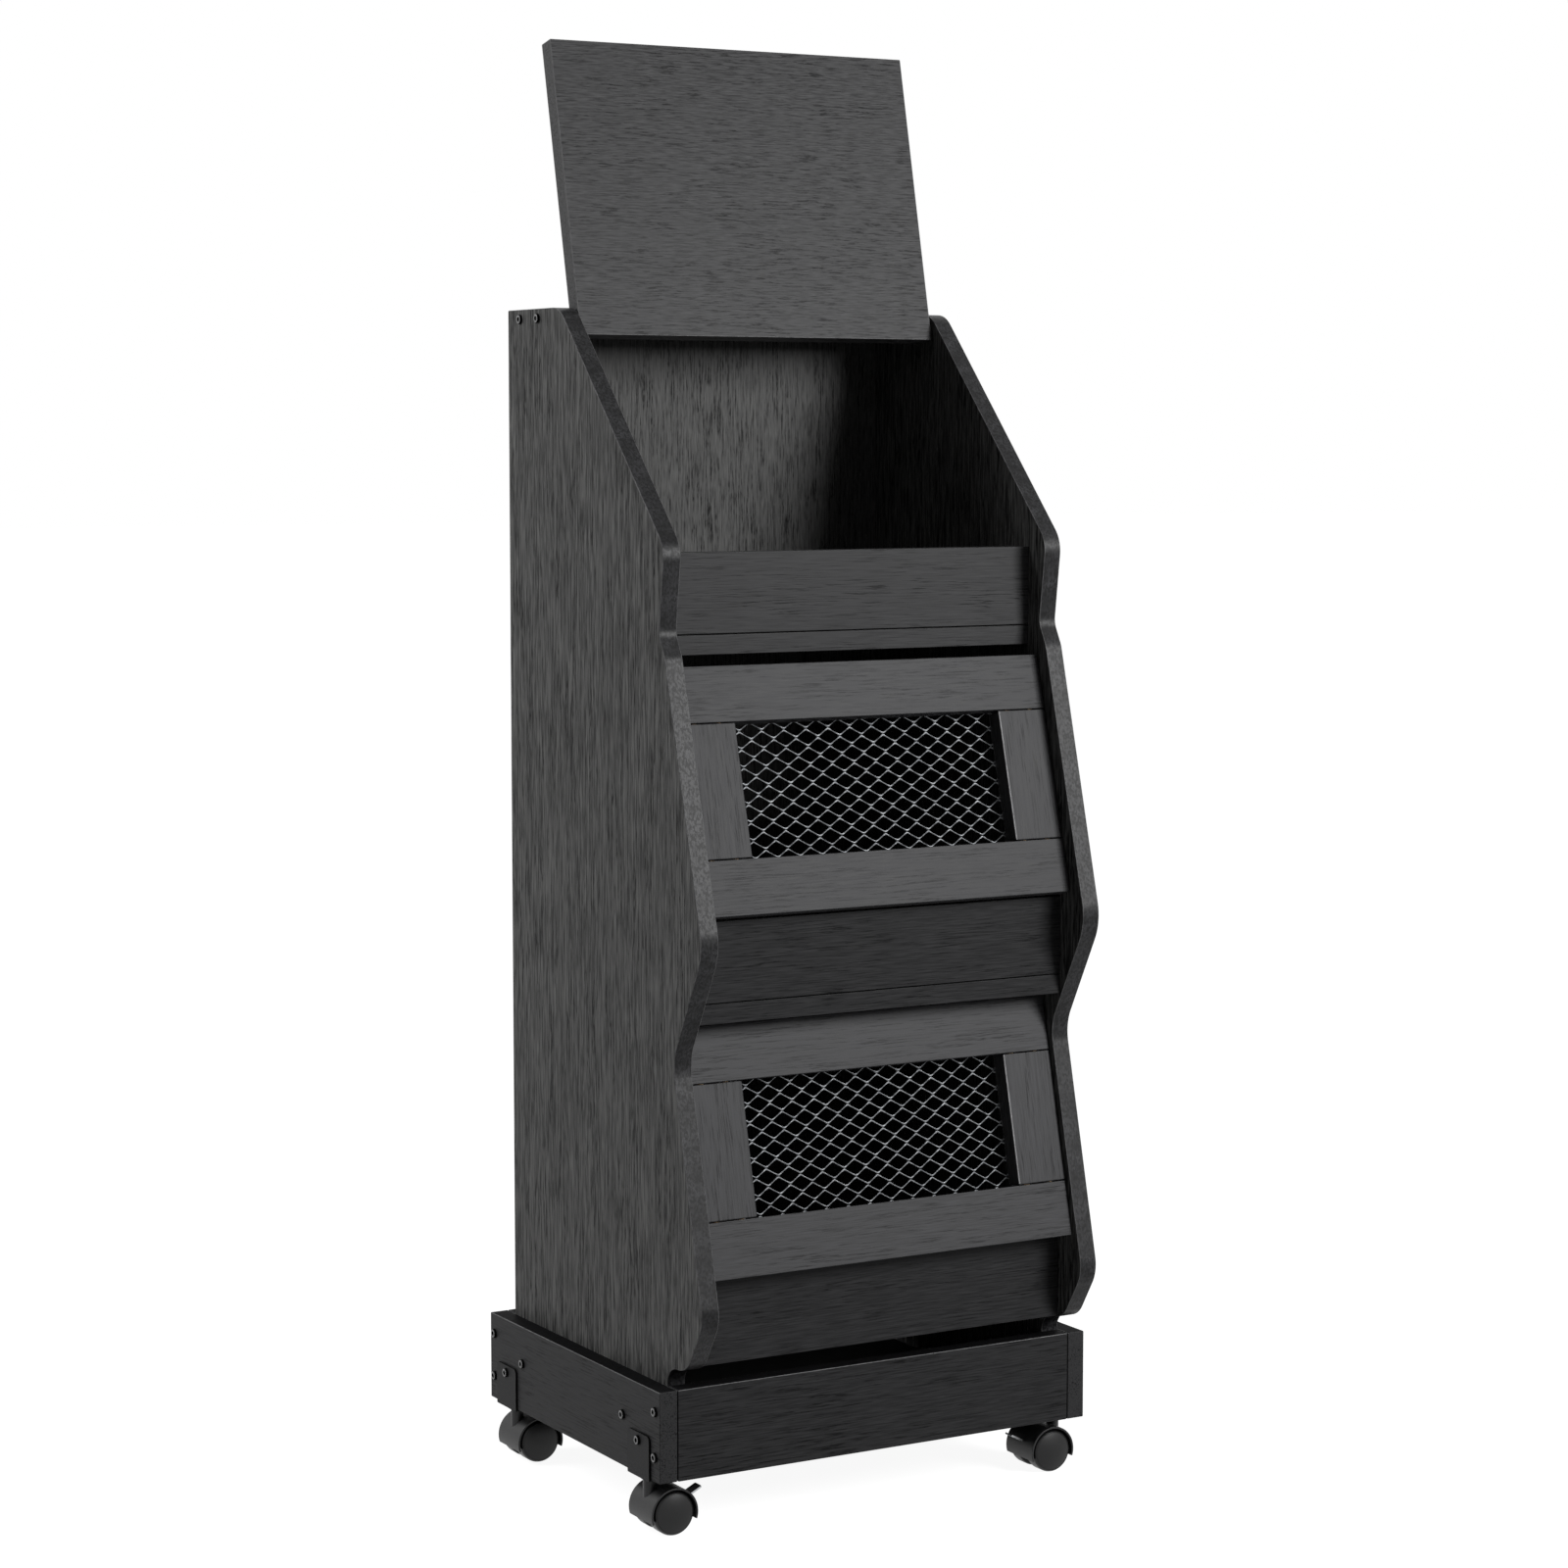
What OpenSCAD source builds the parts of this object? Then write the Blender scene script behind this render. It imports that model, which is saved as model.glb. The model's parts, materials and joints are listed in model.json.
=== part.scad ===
// Kitchen storage cabinet on casters: an open bin under a lid at the top, and two
// bins with flip-down doors below it, between two side panels on a base frame.
// Millimetres, Z up. The origin is on the floor, in the middle of the footprint.

/* [Boards] */
// Thickness of every wooden board
board_t = 15; // [12:1:18]
// Thickness of the back panel
back_t = 5; // [3:1:6]
// Gap at each end of the lid and of the doors
end_gap = 1.3; // [0.6:0.1:2]

/* [Base] */
// Width of the base
base_w = 384; // [340:1:480]
// Depth of the base
base_d = 294; // [280:1:340]
// Height of the base boards
base_h = 70; // [66:1:90]

/* [Side panels] */
// How far the panels bulge out in front of the base
front_reach = 38; // [34:1:44]
// Gap between the feet and the front board of the base
foot_gap = 1; // [0.5:0.1:3]
// Height of the panels' lower step above the base boards
step_gap = 16; // [10:1:24]
// Radius of the bulge at the middle bin
middle_bulge_r = 40; // [30:1:50]
// Radius of the bulge at the bottom bin
lower_bulge_r = 28; // [20:1:34]
// Radius of the notch between the two bulges
notch_r = 35; // [20:1:40]
// Angle at which the edge runs back below the middle bulge
middle_undercut = 28.3; // [24:0.1:32]
// Angle at which the edge runs back below the lower bulge
lower_undercut = 32.3; // [26:0.1:36]
// Height of the panels above the top of the upper front board
top_rise = 186; // [170:1:210]
// Radius of the nose beside the upper front board
nose_r = 25; // [15:1:30]
// Radius of the corner between the sloping edge and the top
top_corner_r = 26; // [10:1:30]

/* [Shelves and front boards] */
// Height of the upper and middle front boards
front_board_h = 62; // [50:1:75]
// Height of the lower front board
lower_board_h = 77; // [70:1:90]
// Distance of the upper front board behind the front of the base
upper_board_y = 41; // [36:1:50]
// Depth of the top board
top_board_d = 75; // [60:1:85]

/* [Lid] */
// Angle at which the open lid leans back
lid_lean = 12.4; // [9:0.1:16]
// Distance from the lid's lower edge to its pivot
lid_pin_in = 8; // [7:0.5:10]
// Radius of the lid's pivot pins
lid_pin_r = 3; // [2:0.5:4]
// How far the closed lid lies below the sloping edges
lid_sink = 5.6; // [2:0.1:8]

/* [Doors] */
// Height of each door
door_h = 190; // [170:1:200]
// Height of the door rails
rail_h = 43; // [36:1:50]
// Width of the door stiles
stile_w = 43; // [36:1:50]
// Angle at which the upper door leans back
upper_lean = 15; // [12:0.5:17]
// Angle at which the lower door leans back
lower_lean = 13.5; // [11:0.5:16]
// How far the upper door's face lies behind the panel edges
upper_set = 12.3; // [9:0.1:14]
// How far the lower door's face lies behind the panel edges
lower_set = 5; // [3:0.1:8]
// Gap between the upper door's top and the shelf above it
upper_swing_gap = 3; // [1:0.1:6]
// Gap between the lower door's top and the shelf above it
lower_swing_gap = 1; // [0.5:0.1:4]
// Radius of the doors' pivot pins
door_pin_r = 2.5; // [2:0.1:3]
// Radius of the dowels in the door frames
dowel_r = 3; // [2:0.5:3.5]
// Length of the dowels in the door frames
dowel_l = 30; // [20:1:36]

/* [Wire net] */
// Width of a diamond of the net
net_pitch_x = 19.4; // [18:0.1:26]
// Height of a diamond of the net
net_pitch_z = 14; // [13:0.1:18]
// Width of a strand of the net
strand_w = 1.3; // [0.8:0.1:2]
// Thickness of the net
net_t = 1.2; // [0.8:0.1:2]
// How far the net laps over the frame
net_lap = 12; // [10:1:16]

/* [Catches] */
// Width of a magnetic catch
catch_w = 13.5; // [10:0.5:18]
// Height of a magnetic catch
catch_h = 30; // [20:1:34]
// Thickness of the strike plates
strike_t = 1.2; // [0.8:0.1:2]

/* [Fixings] */
// Radius of the wood screws
screw_r = 2; // [1.5:0.1:2.5]
// Radius of the screw heads
head_r = 3.75; // [3.2:0.05:4]
// Radius of the screws in the back panel and the net
small_screw_r = 1.2; // [1:0.1:1.6]
// Radius of the cam locks
cam_r = 7.5; // [6:0.5:8]
// Depth of the cam locks
cam_h = 12; // [11:0.5:12]
// Radius of the cam bolts
bolt_r = 3; // [2:0.5:3.5]

/* [Casters] */
// Height of the base above the floor
caster_h = 46; // [44:1:56]
// Radius of the wheels
wheel_r = 17; // [15:1:18]
// Distance from the swivel axis to the axle
trail = 12; // [10:1:14]
// Width of the hood over both wheels
hood_w = 38; // [34:1:42]
// Thickness of the hood
hood_t = 1.6; // [1.2:0.1:2]
// Thickness of the web between the wheels
web_t = 10; // [9.6:0.1:12]
// Radius of the caster stems
stem_r = 4; // [3:0.1:4]
// Radius of the axles
axle_r = 2.5; // [2:0.1:3]
// Distance of the swivel axes from the front and the back of the base
caster_in = 32; // [28:1:40]
// Width of the caster brackets
bracket_w = 35; // [30:1:40]
// Thickness of the caster brackets
bracket_t = 1.6; // [1.2:0.1:2.5]
// Angle of the brake levers above level when they are released
brake_up = 27; // [15:1:32]
// Angle of the brake levers below level when they are pressed
brake_down = 8; // [4:1:12]

/* [Hidden] */
$fn = 48;

stain = "#343436";
stain_edge = "#2b2b2c";
bare_wood = "#c9a678";
steel = "#a9adb0";
black_metal = "#1c1c1d";
black_plastic = "#1f1f20";
zinc = "#c3c5c4";

// A cut runs past the face that it opens by this much
cut = 1;
// Clearance round a fixing that stays put, and round a pin that turns
still_gap = 0.02;
turn_gap = 0.05;
// Gap between parts that move past each other
run_gap = 0.3;

// Widths: the panels stand inside the base boards, and all else between the panels
inner_w = base_w - 4 * board_t;
panel_x = inner_w / 2;
door_w = inner_w - 2 * end_gap;
rear_y = base_d - board_t;
back_y = rear_y - back_t;

// Doors turn about pins at half their thickness, as far from their lower edge
door_pin_in = board_t / 2;
door_corner_r = norm([door_pin_in, board_t / 2]);
door_swing_r = norm([door_h - door_pin_in, board_t / 2]);
// How far the upper door's pivot circle dips below the board under it
upper_pin_sink = 0.7;
// How far the lower door's pivot lies below the top of the board behind it
lower_pin_sink = 1.5;
// Gap between the lower front board and the lower door's turning corner
board_gap = 1.4;

// Heights above the underside of the base, from the bottom up: the panels' feet stand
// on the floor board of the base
foot_z = board_t;
step_z = base_h + step_gap;
panel_lip = 1;
bottom_shelf_z = step_z + panel_lip;
lower_board_top = bottom_shelf_z + lower_board_h;
lower_pin_z = lower_board_top - lower_pin_sink;
middle_shelf_z = lower_pin_z + door_swing_r + lower_swing_gap;
middle_board_top = middle_shelf_z + board_t + front_board_h;
upper_pin_z = middle_board_top + door_corner_r - upper_pin_sink;
upper_shelf_z = upper_pin_z + door_swing_r + upper_swing_gap;
upper_board_top = upper_shelf_z + board_t + front_board_h;
panel_top = upper_board_top + top_rise;
top_board_z = panel_top - board_t;

// Direction of a line that leans back from straight up, and the way its front faces
function rising(lean) = [sin(lean), cos(lean)];
function facing(lean) = [-cos(lean), sin(lean)];
// Corner of the two tangents of a circle that face along n and m
function tangent_corner(centre, r, n, m) = centre + r * (n + m) / (1 + n * m);
// Point where the line n * p = a crosses the line m * p = b
function crossing(n, a, m, b) = [a * m.y - b * n.y, n.x * b - m.x * a] / (n.x * m.y - m.x * n.y);

// Bulges of the panels: each is a circle whose front touches the full reach
middle_bulge_drop = 13;
lower_bulge_drop = 31;
middle_bulge = [middle_bulge_r - front_reach, middle_board_top - middle_bulge_drop];
lower_bulge = [lower_bulge_r - front_reach, lower_board_top - lower_bulge_drop];
upper_edge = facing(upper_lean);
upper_edge_at = upper_edge * middle_bulge + middle_bulge_r;
lower_edge = facing(lower_lean);
lower_edge_at = lower_edge * lower_bulge + lower_bulge_r;
middle_under = facing(-middle_undercut);
middle_under_at = middle_under * middle_bulge + middle_bulge_r;
lower_under = facing(-lower_undercut);
lower_under_at = lower_under * lower_bulge + lower_bulge_r;

// Pivots of the doors, as [y, z]: set back from the panel edges
function behind_edge(edge, at, set, z) = (edge.y * z - at + set + board_t / 2) / -edge.x;
upper_pin = [behind_edge(upper_edge, upper_edge_at, upper_set, upper_pin_z), upper_pin_z];
lower_pin = [behind_edge(lower_edge, lower_edge_at, lower_set, lower_pin_z), lower_pin_z];
front_board_y = lower_pin.x + door_corner_r + board_gap;

// The open lid leans on the front edge of the top board
lid_corner_r = norm([lid_pin_in, board_t / 2]);
lid_rest_gap = 0.4;
top_board_y = rear_y - top_board_d;
lid_pin_back = lid_corner_r + run_gap;
lid_pin_drop = (cos(lid_lean) * lid_pin_back - board_t / 2 - lid_rest_gap) / sin(lid_lean);
lid_pin = [top_board_y - lid_pin_back, panel_top - lid_pin_drop];
// Closed, its underside lies on the front edge of the upper front board
lid_seat = [upper_board_y, upper_board_top];
lid_seat_d = norm(lid_pin - lid_seat);
slope = atan2(lid_pin.y - lid_seat.y, lid_pin.x - lid_seat.x) - asin(board_t / 2 / lid_seat_d);
lid_setback = 1;
lid_reach = sqrt(pow(lid_seat_d, 2) - pow(board_t / 2, 2)) - lid_setback;
// The sloping edges of the panels run parallel to the closed lid
slope_up = [-sin(slope), cos(slope)];
slope_at = slope_up * lid_seat + board_t + lid_sink;

// Pins reach into blind bores in the panels
pin_in_panel = 8;
door_pin_in_rail = 12;
lid_pin_in_lid = 15;

// Corners of a side panel as [y, z, radius], from the back of its foot round the top
nose_rise = 5;
notch_depth = 15;
notch_rise = 2.5;
foot_y = board_t + foot_gap;
dip_r = 15;
shoulder_r = 20;
level = [0, 1];
// The step is a quarter circle down to the top of the base, and the toe before it is as
// round as the rest of the level edge allows
toe = crossing(lower_under, lower_under_at, level, step_z);
toe_most_r = 22;
toe_r = min(toe_most_r, (foot_y - toe.x - step_gap) / tan((90 - lower_undercut) / 2));
panel_corners = [
    [rear_y, foot_z, 0],
    [rear_y, panel_top, 0],
    rounded(crossing(slope_up, slope_at, level, panel_top), top_corner_r),
    rounded(crossing(slope_up, slope_at, level, upper_board_top + nose_rise), nose_r),
    [upper_board_y - notch_depth, upper_shelf_z + board_t + notch_rise, dip_r],
    rounded(crossing(upper_edge, upper_edge_at, level, upper_shelf_z), shoulder_r),
    rounded(tangent_corner(middle_bulge, middle_bulge_r, upper_edge, middle_under), middle_bulge_r),
    rounded(crossing(lower_edge, lower_edge_at, middle_under, middle_under_at), notch_r),
    rounded(tangent_corner(lower_bulge, lower_bulge_r, lower_edge, lower_under), lower_bulge_r),
    rounded(toe, toe_r),
    [foot_y, step_z, step_gap],
    [foot_y, foot_z, 0],
];
function rounded(p, r) = [p.x, p.y, r];

// Points of an outline whose corners are [x, y, radius]
function unit(v) = v / norm(v);
function xy(c) = [c.x, c.y];
function corner_arc(before, at, after, r) =
    let (u = unit(before - at), v = unit(after - at), half = acos(u * v) / 2)
    let (centre = at + unit(u + v) * r / sin(half))
    let (start = at + u * r / tan(half) - centre, stop = at + v * r / tan(half) - centre)
    let (from = atan2(start.y, start.x), turn = (atan2(stop.y, stop.x) - from + 540) % 360 - 180)
    let (steps = max(3, ceil(abs(turn) / 5)))
    [for (i = [0:steps]) centre + r * [cos(from + turn * i / steps), sin(from + turn * i / steps)]];
function outline(corners) =
    let (n = len(corners))
    [for (i = [0:n - 1])
        each corners[i].z == 0
            ? [xy(corners[i])]
            : corner_arc(xy(corners[(i + n - 1) % n]), xy(corners[i]), xy(corners[(i + 1) % n]),
                corners[i].z)];

// Fixings: cam spots as [y, z] in the shelves and in the front boards
cam_in = 34;
cam_edge = 40;
bolt_in_panel = 10;
shelves = [
    [upper_shelf_z, upper_board_y],
    [middle_shelf_z, front_board_y],
    [bottom_shelf_z, front_board_y + board_t],
];
front_boards = [
    [upper_board_y, upper_shelf_z + board_t, front_board_h],
    [front_board_y, middle_shelf_z + board_t, front_board_h],
    [front_board_y, bottom_shelf_z, lower_board_h],
];
shelf_cams = [
    for (shelf = shelves)
        for (y = [shelf.y + cam_edge, back_y - cam_edge])
            [y, shelf.x + board_t / 2]
];
front_cams = [for (board = front_boards) [board.x + board_t / 2, board.y + board[2] / 2]];

head_h = 2.3;
socket_r = 1.6;
socket_depth = 1.3;
corner_screw_l = 45;
foot_screw_l = 25;
case_screw_l = 40;
bracket_screw_l = 14;
back_screw_l = 20;
back_screw_in = 42;
back_screw_x = inner_w / 2 - back_screw_in;
back_head_r = 3;
corner_screw_low = 19;
corner_screw_high = 16;
corner_screws = [
    for (y = [board_t / 2, base_d - board_t / 2])
        for (z = [corner_screw_low, base_h - corner_screw_high])
            [y, z]
];
foot_screw_in = 44;
foot_screw_up = 25;
foot_screws = [for (y = [foot_y + foot_screw_in, rear_y - foot_screw_in]) [y, foot_z + foot_screw_up]];
case_screw_in = 22;
case_screws_at = [
    for (y = [top_board_y + case_screw_in, rear_y - case_screw_in]) [y, top_board_z + board_t / 2]
];

// Casters: places are measured from the swivel axis at the underside of the base
stem_shift = 0.5;
stem_x = base_w / 2 - board_t / 2 - stem_shift;
stem_in = 20;
bracket_up = 33;
bracket_flange = 26;
bracket_corner_r = 4;
bracket_screw_z = 27;
collar_r = 7;
collar_t = 2.1;
boss_r = 6;
boss_top = -bracket_t - collar_t - run_gap;
stem_low = -23;
axle_z = wheel_r - caster_h;
wheel_gap = 1.4;
hood_r = wheel_r + wheel_gap + hood_t;
hood_cut = 6;
web_hub_r = 6;
side_gap = 0.4;
rim_gap = 0.6;
wheel_in = web_t / 2 + side_gap;
tread_edge = 1.5;
cap_rise = 2.5;
wheel_out = hood_w / 2 - rim_gap + cap_rise;
cap_ring = 0.5;
cap_r = wheel_r - tread_edge - cap_ring;
axle_cover = 1;
axle_half = wheel_out - cap_rise - axle_cover;

// Brake lever: its pivot lies behind and above the axle
brake_pivot = [13.2, 5];
lever_w = 6;
lever_t = 2.4;
lever_hub_r = 3;
lever_lap = 1;
trunnion_r = 1.5;
trunnion_half = 4.5;
pedal_from = 7.5;
pedal_to = 19.4;
pedal_w = 10;
pedal_t = 1.6;
slot_gap = 0.3;
slot_spread = 22;

// The cabinet's parts are placed by their distance from the front of the base and
// their height above its underside
module placed() {
    translate([0, (front_reach - base_d) / 2, caster_h]) children();
}

module both_sides() {
    children();
    mirror([1, 0, 0]) children();
}

// A board between two low and high corners
module board(low, high) {
    translate(low) cube(high - low);
}

// A bore or rod along X, from x to x + length
module along_x(x, at, r, length) {
    translate([x, at.x, at.y]) rotate([0, 90, 0]) cylinder(r = r, h = length);
}

// A bore or rod along Y, from y to y + length
module along_y(y, x, z, r, length) {
    translate([x, y + length, z]) rotate([90, 0, 0]) cylinder(r = r, h = length);
}

// Domed screw with a hex socket: the head rises above z = 0 and the shank goes down
module screw(r, head, length) {
    dome_r = (pow(head, 2) + pow(head_h, 2)) / (2 * head_h);
    difference() {
        union() {
            intersection() {
                translate([0, 0, head_h - dome_r]) sphere(r = dome_r);
                cylinder(r = head + cut, h = head_h);
            }
            translate([0, 0, -length]) cylinder(r = r, h = length + head_h / 2);
        }
        translate([0, 0, head_h - socket_depth]) cylinder(r = socket_r, h = socket_depth + cut, $fn = 6);
    }
}

module side_screws(x, spots, length) {
    both_sides()
        for (spot = spots)
            translate([x, spot.x, spot.y]) rotate([0, 90, 0]) screw(screw_r, head_r, length);
}

module side_screw_bores(x, spots, length) {
    for (spot = spots) along_x(x - length, spot, screw_r + still_gap, length + cut);
}

// Side panels, modelled as the right one
module panel() {
    difference() {
        translate([panel_x, 0, 0])
            rotate([90, 0, 90])
                linear_extrude(board_t) polygon(outline(panel_corners));
        along_x(panel_x - cut, lid_pin, lid_pin_r + turn_gap, pin_in_panel + run_gap + cut);
        for (pin = [upper_pin, lower_pin])
            along_x(panel_x - cut, pin, door_pin_r + turn_gap, pin_in_panel + run_gap + cut);
        for (spot = concat(shelf_cams, front_cams))
            along_x(panel_x - cut, spot, bolt_r + still_gap, bolt_in_panel + cut);
        side_screw_bores(panel_x + board_t, case_screws_at, case_screw_l);
        side_screw_bores(panel_x + 2 * board_t, foot_screws, foot_screw_l);
    }
}

module side_panel_left() {
    color(stain) placed() mirror([1, 0, 0]) panel();
}

module side_panel_right() {
    color(stain) placed() panel();
}

module back_screw_spots() {
    for (shelf = shelves)
        for (x = [-back_screw_x, 0, back_screw_x])
            translate([x, rear_y, shelf.x + board_t / 2]) children();
}

module back_screw_bores() {
    back_screw_spots()
        rotate([90, 0, 0])
            translate([0, 0, -cut])
                cylinder(r = small_screw_r + still_gap, h = back_screw_l + cut);
}

module back_panel() {
    color(stain) placed() difference() {
        board([-panel_x, back_y, bottom_shelf_z], [panel_x, rear_y, top_board_z]);
        back_screw_bores();
    }
}

module top_board() {
    color(stain) placed() difference() {
        board([-panel_x, top_board_y, top_board_z], [panel_x, rear_y, panel_top]);
        both_sides() side_screw_bores(panel_x + board_t, case_screws_at, case_screw_l);
    }
}

// Cam lock pockets open downwards in a shelf and backwards in a front board
module shelf_cam(spot, r) {
    translate([panel_x - cam_in, spot.x, spot.y - board_t / 2]) cylinder(r = r, h = cam_h);
}

module front_cam(spot, r) {
    along_y(spot.x + board_t / 2 - cam_h, panel_x - cam_in, spot.y, r, cam_h);
}

module cam_bolt_bore(spot) {
    along_x(panel_x - cam_in, spot, bolt_r + still_gap, cam_in + cut);
}

module shelf(index) {
    color(stain) placed() difference() {
        board([-panel_x, shelves[index].y, shelves[index].x],
            [panel_x, back_y, shelves[index].x + board_t]);
        both_sides() for (i = [0, 1]) {
            cam_bolt_bore(shelf_cams[2 * index + i]);
            shelf_cam(shelf_cams[2 * index + i], cam_r + still_gap);
        }
        back_screw_bores();
    }
}

module shelf_upper() {
    shelf(0);
}

module shelf_middle() {
    shelf(1);
}

module shelf_bottom() {
    shelf(2);
}

module front_board(index) {
    color(stain) placed() difference() {
        board([-panel_x, front_boards[index].x, front_boards[index].y],
            [panel_x, front_boards[index].x + board_t, front_boards[index].y + front_boards[index][2]]);
        both_sides() {
            cam_bolt_bore(front_cams[index]);
            front_cam(front_cams[index], cam_r + still_gap);
        }
    }
}

module front_board_upper() {
    front_board(0);
}

module front_board_middle() {
    front_board(1);
}

module front_board_lower() {
    front_board(2);
}

// Lid, in its own place: the pivot is at the origin and the board stands up
module at_lid() {
    placed() translate([0, lid_pin.x, lid_pin.y]) rotate([-lid_lean, 0, 0]) children();
}

module lid() {
    color(stain) at_lid() difference() {
        board([-door_w / 2, -board_t / 2, -lid_pin_in], [door_w / 2, board_t / 2, lid_reach]);
        both_sides()
            along_x(door_w / 2 - lid_pin_in_lid, [0, 0], lid_pin_r + still_gap, lid_pin_in_lid + cut);
    }
}

module lid_pins() {
    color(steel) at_lid() both_sides()
        along_x(door_w / 2 - lid_pin_in_lid, [0, 0], lid_pin_r,
            lid_pin_in_lid + end_gap + pin_in_panel);
}

// Doors, in their own place: the front face is at y = 0 and the lower edge at z = 0
pin_at = [board_t / 2, door_pin_in];
window_w = door_w - 2 * stile_w;
window_h = door_h - 2 * rail_h;

module at_door(pin, lean) {
    placed()
        translate([0, pin.x, pin.y])
            rotate([-lean, 0, 0])
                translate([0, -pin_at.x, -pin_at.y]) children();
}

module at_upper_door() {
    at_door(upper_pin, upper_lean) children();
}

module at_lower_door() {
    at_door(lower_pin, lower_lean) children();
}

// Dowels stand in the joints between the rails and the stiles, two in each
module door_dowels(r) {
    for (x = [window_w / 2 + stile_w / 4, door_w / 2 - stile_w / 4])
        for (side = [-1, 1])
            for (z = [rail_h, door_h - rail_h])
                translate([side * x, board_t / 2, z - dowel_l / 2]) cylinder(r = r, h = dowel_l);
}

// The net's screws stand round the window, in the middle of the net's solid rim
net_open_lap = 3;
net_rim = (net_lap + net_open_lap) / 2;
net_screw_cover = 0.5;
net_screw_in = board_t / 2 - dowel_r - net_screw_cover;
net_head_r = 3.25;
net_head_top_r = 2.55;
net_head_h = 1.2;
module net_screw_spots() {
    for (i = [-1, 0, 1])
        for (j = [-1, 0, 1])
            if (i != 0 || j != 0)
                translate([i * (window_w / 2 + net_rim), board_t + net_t,
                    door_h / 2 + j * (window_h / 2 + net_rim)])
                    rotate([-90, 0, 0]) children();
}

module net_screw_bores() {
    net_screw_spots()
        translate([0, 0, -net_t - net_screw_in])
            cylinder(r = small_screw_r + still_gap, h = net_t + net_screw_in + cut);
}

module door_rail(low) {
    difference() {
        board([-door_w / 2, 0, low], [door_w / 2, board_t, low + rail_h]);
        door_dowels(dowel_r + still_gap);
        net_screw_bores();
    }
}

module door_top_rail() {
    color(stain) door_rail(door_h - rail_h);
}

module door_bottom_rail() {
    color(stain) difference() {
        door_rail(0);
        both_sides()
            along_x(door_w / 2 - door_pin_in_rail, pin_at, door_pin_r + still_gap, door_pin_in_rail + cut);
    }
}

module door_stiles() {
    color(stain) difference() {
        both_sides() board([window_w / 2, 0, rail_h], [door_w / 2, board_t, door_h - rail_h]);
        door_dowels(dowel_r + still_gap);
        net_screw_bores();
    }
}

module door_pins() {
    color(steel) both_sides()
        along_x(door_w / 2 - door_pin_in_rail, pin_at, door_pin_r,
            door_pin_in_rail + end_gap + pin_in_panel);
}

// Diamonds of the net stand in rows half a diamond apart, every other row shifted
net_half = [net_pitch_x / 2, net_pitch_z / 2];
net_side_d = net_half.x * net_half.y / norm(net_half);
net_open = 1 - strand_w / 2 / net_side_d;
net_rise = 5;
net_clip = [window_w / 2 + net_open_lap, window_h / 2 + net_open_lap];
net_cols = ceil(net_clip.x / net_half.x);
net_rows = ceil(net_clip.y / net_half.y);

module net_gap(x, z) {
    translate([x, z])
        polygon([
            [net_open * net_half.x, 0], [0, net_open * net_half.y],
            [-net_open * net_half.x, 0], [0, -net_open * net_half.y],
        ]);
}

module net_gaps() {
    intersection() {
        square(2 * net_clip, center = true);
        union()
            for (i = [-net_cols:net_cols])
                for (j = [-net_rows - 1:net_rows])
                    let (x = i * net_half.x, z = net_rise + j * net_half.y)
                        if ((i + j) % 2 == 0
                            && abs(x) < net_clip.x + net_half.x / 2
                            && abs(z) < net_clip.y + net_half.y / 2)
                            net_gap(x, z);
    }
}

module door_net() {
    color(zinc) difference() {
        translate([0, board_t + net_t, door_h / 2])
            rotate([90, 0, 0])
                linear_extrude(net_t) difference() {
                    square([window_w + 2 * net_lap, window_h + 2 * net_lap], center = true);
                    net_gaps();
                }
        net_screw_bores();
    }
}

module door_net_screws() {
    color(steel) net_screw_spots() {
        cylinder(r1 = net_head_r, r2 = net_head_top_r, h = net_head_h);
        translate([0, 0, -net_t - net_screw_in])
            cylinder(r = small_screw_r, h = net_t + net_screw_in + net_head_h / 2);
    }
}

// Strike plates lie on the back of the top rail, and the catches face them
catch_depth = 12;
catch_drop = 3;
catch_z = door_h - rail_h / 2 - catch_drop;
strike_edge = 1;
strike_margin = 1.5;
strike_w = catch_w - strike_margin;

module door_strikes() {
    color(steel) both_sides()
        board([door_w / 2 - strike_edge - strike_w, board_t, catch_z - catch_h / 2],
            [door_w / 2 - strike_edge, board_t + strike_t, catch_z + catch_h / 2]);
}

module catch_pair() {
    catch_y = board_t + strike_t + run_gap;
    both_sides()
        board([panel_x - catch_w, catch_y, catch_z - catch_h / 2],
            [panel_x, catch_y + catch_depth, catch_z + catch_h / 2]);
}

module catches() {
    color(black_plastic) {
        at_upper_door() catch_pair();
        at_lower_door() catch_pair();
    }
}

// Base boards: the side boards run past the ends of the front and rear ones
module base_side() {
    difference() {
        board([base_w / 2 - board_t, 0, 0], [base_w / 2, base_d, base_h]);
        side_screw_bores(base_w / 2, corner_screws, corner_screw_l);
        side_screw_bores(base_w / 2, foot_screws, foot_screw_l);
        for (y = [caster_in, base_d - caster_in]) {
            translate([stem_x, y, -cut]) cylinder(r = stem_r + still_gap, h = stem_in + cut);
            along_x(base_w / 2 + bracket_t - bracket_screw_l, [y, bracket_screw_z],
                screw_r + still_gap, bracket_screw_l);
        }
    }
}

module base_side_left() {
    color(stain) placed() mirror([1, 0, 0]) base_side();
}

module base_side_right() {
    color(stain) placed() base_side();
}

module base_cross(y) {
    color(stain) placed() difference() {
        board([board_t - base_w / 2, y, 0], [base_w / 2 - board_t, y + board_t, base_h]);
        both_sides() side_screw_bores(base_w / 2, corner_screws, corner_screw_l);
    }
}

module base_front() {
    base_cross(0);
}

module base_rear() {
    base_cross(rear_y);
}

// The floor board lies between the base boards, on the flanges of the caster brackets
module base_floor() {
    color(stain) placed()
        board([board_t - base_w / 2, board_t, 0], [base_w / 2 - board_t, rear_y, board_t]);
}

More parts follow.
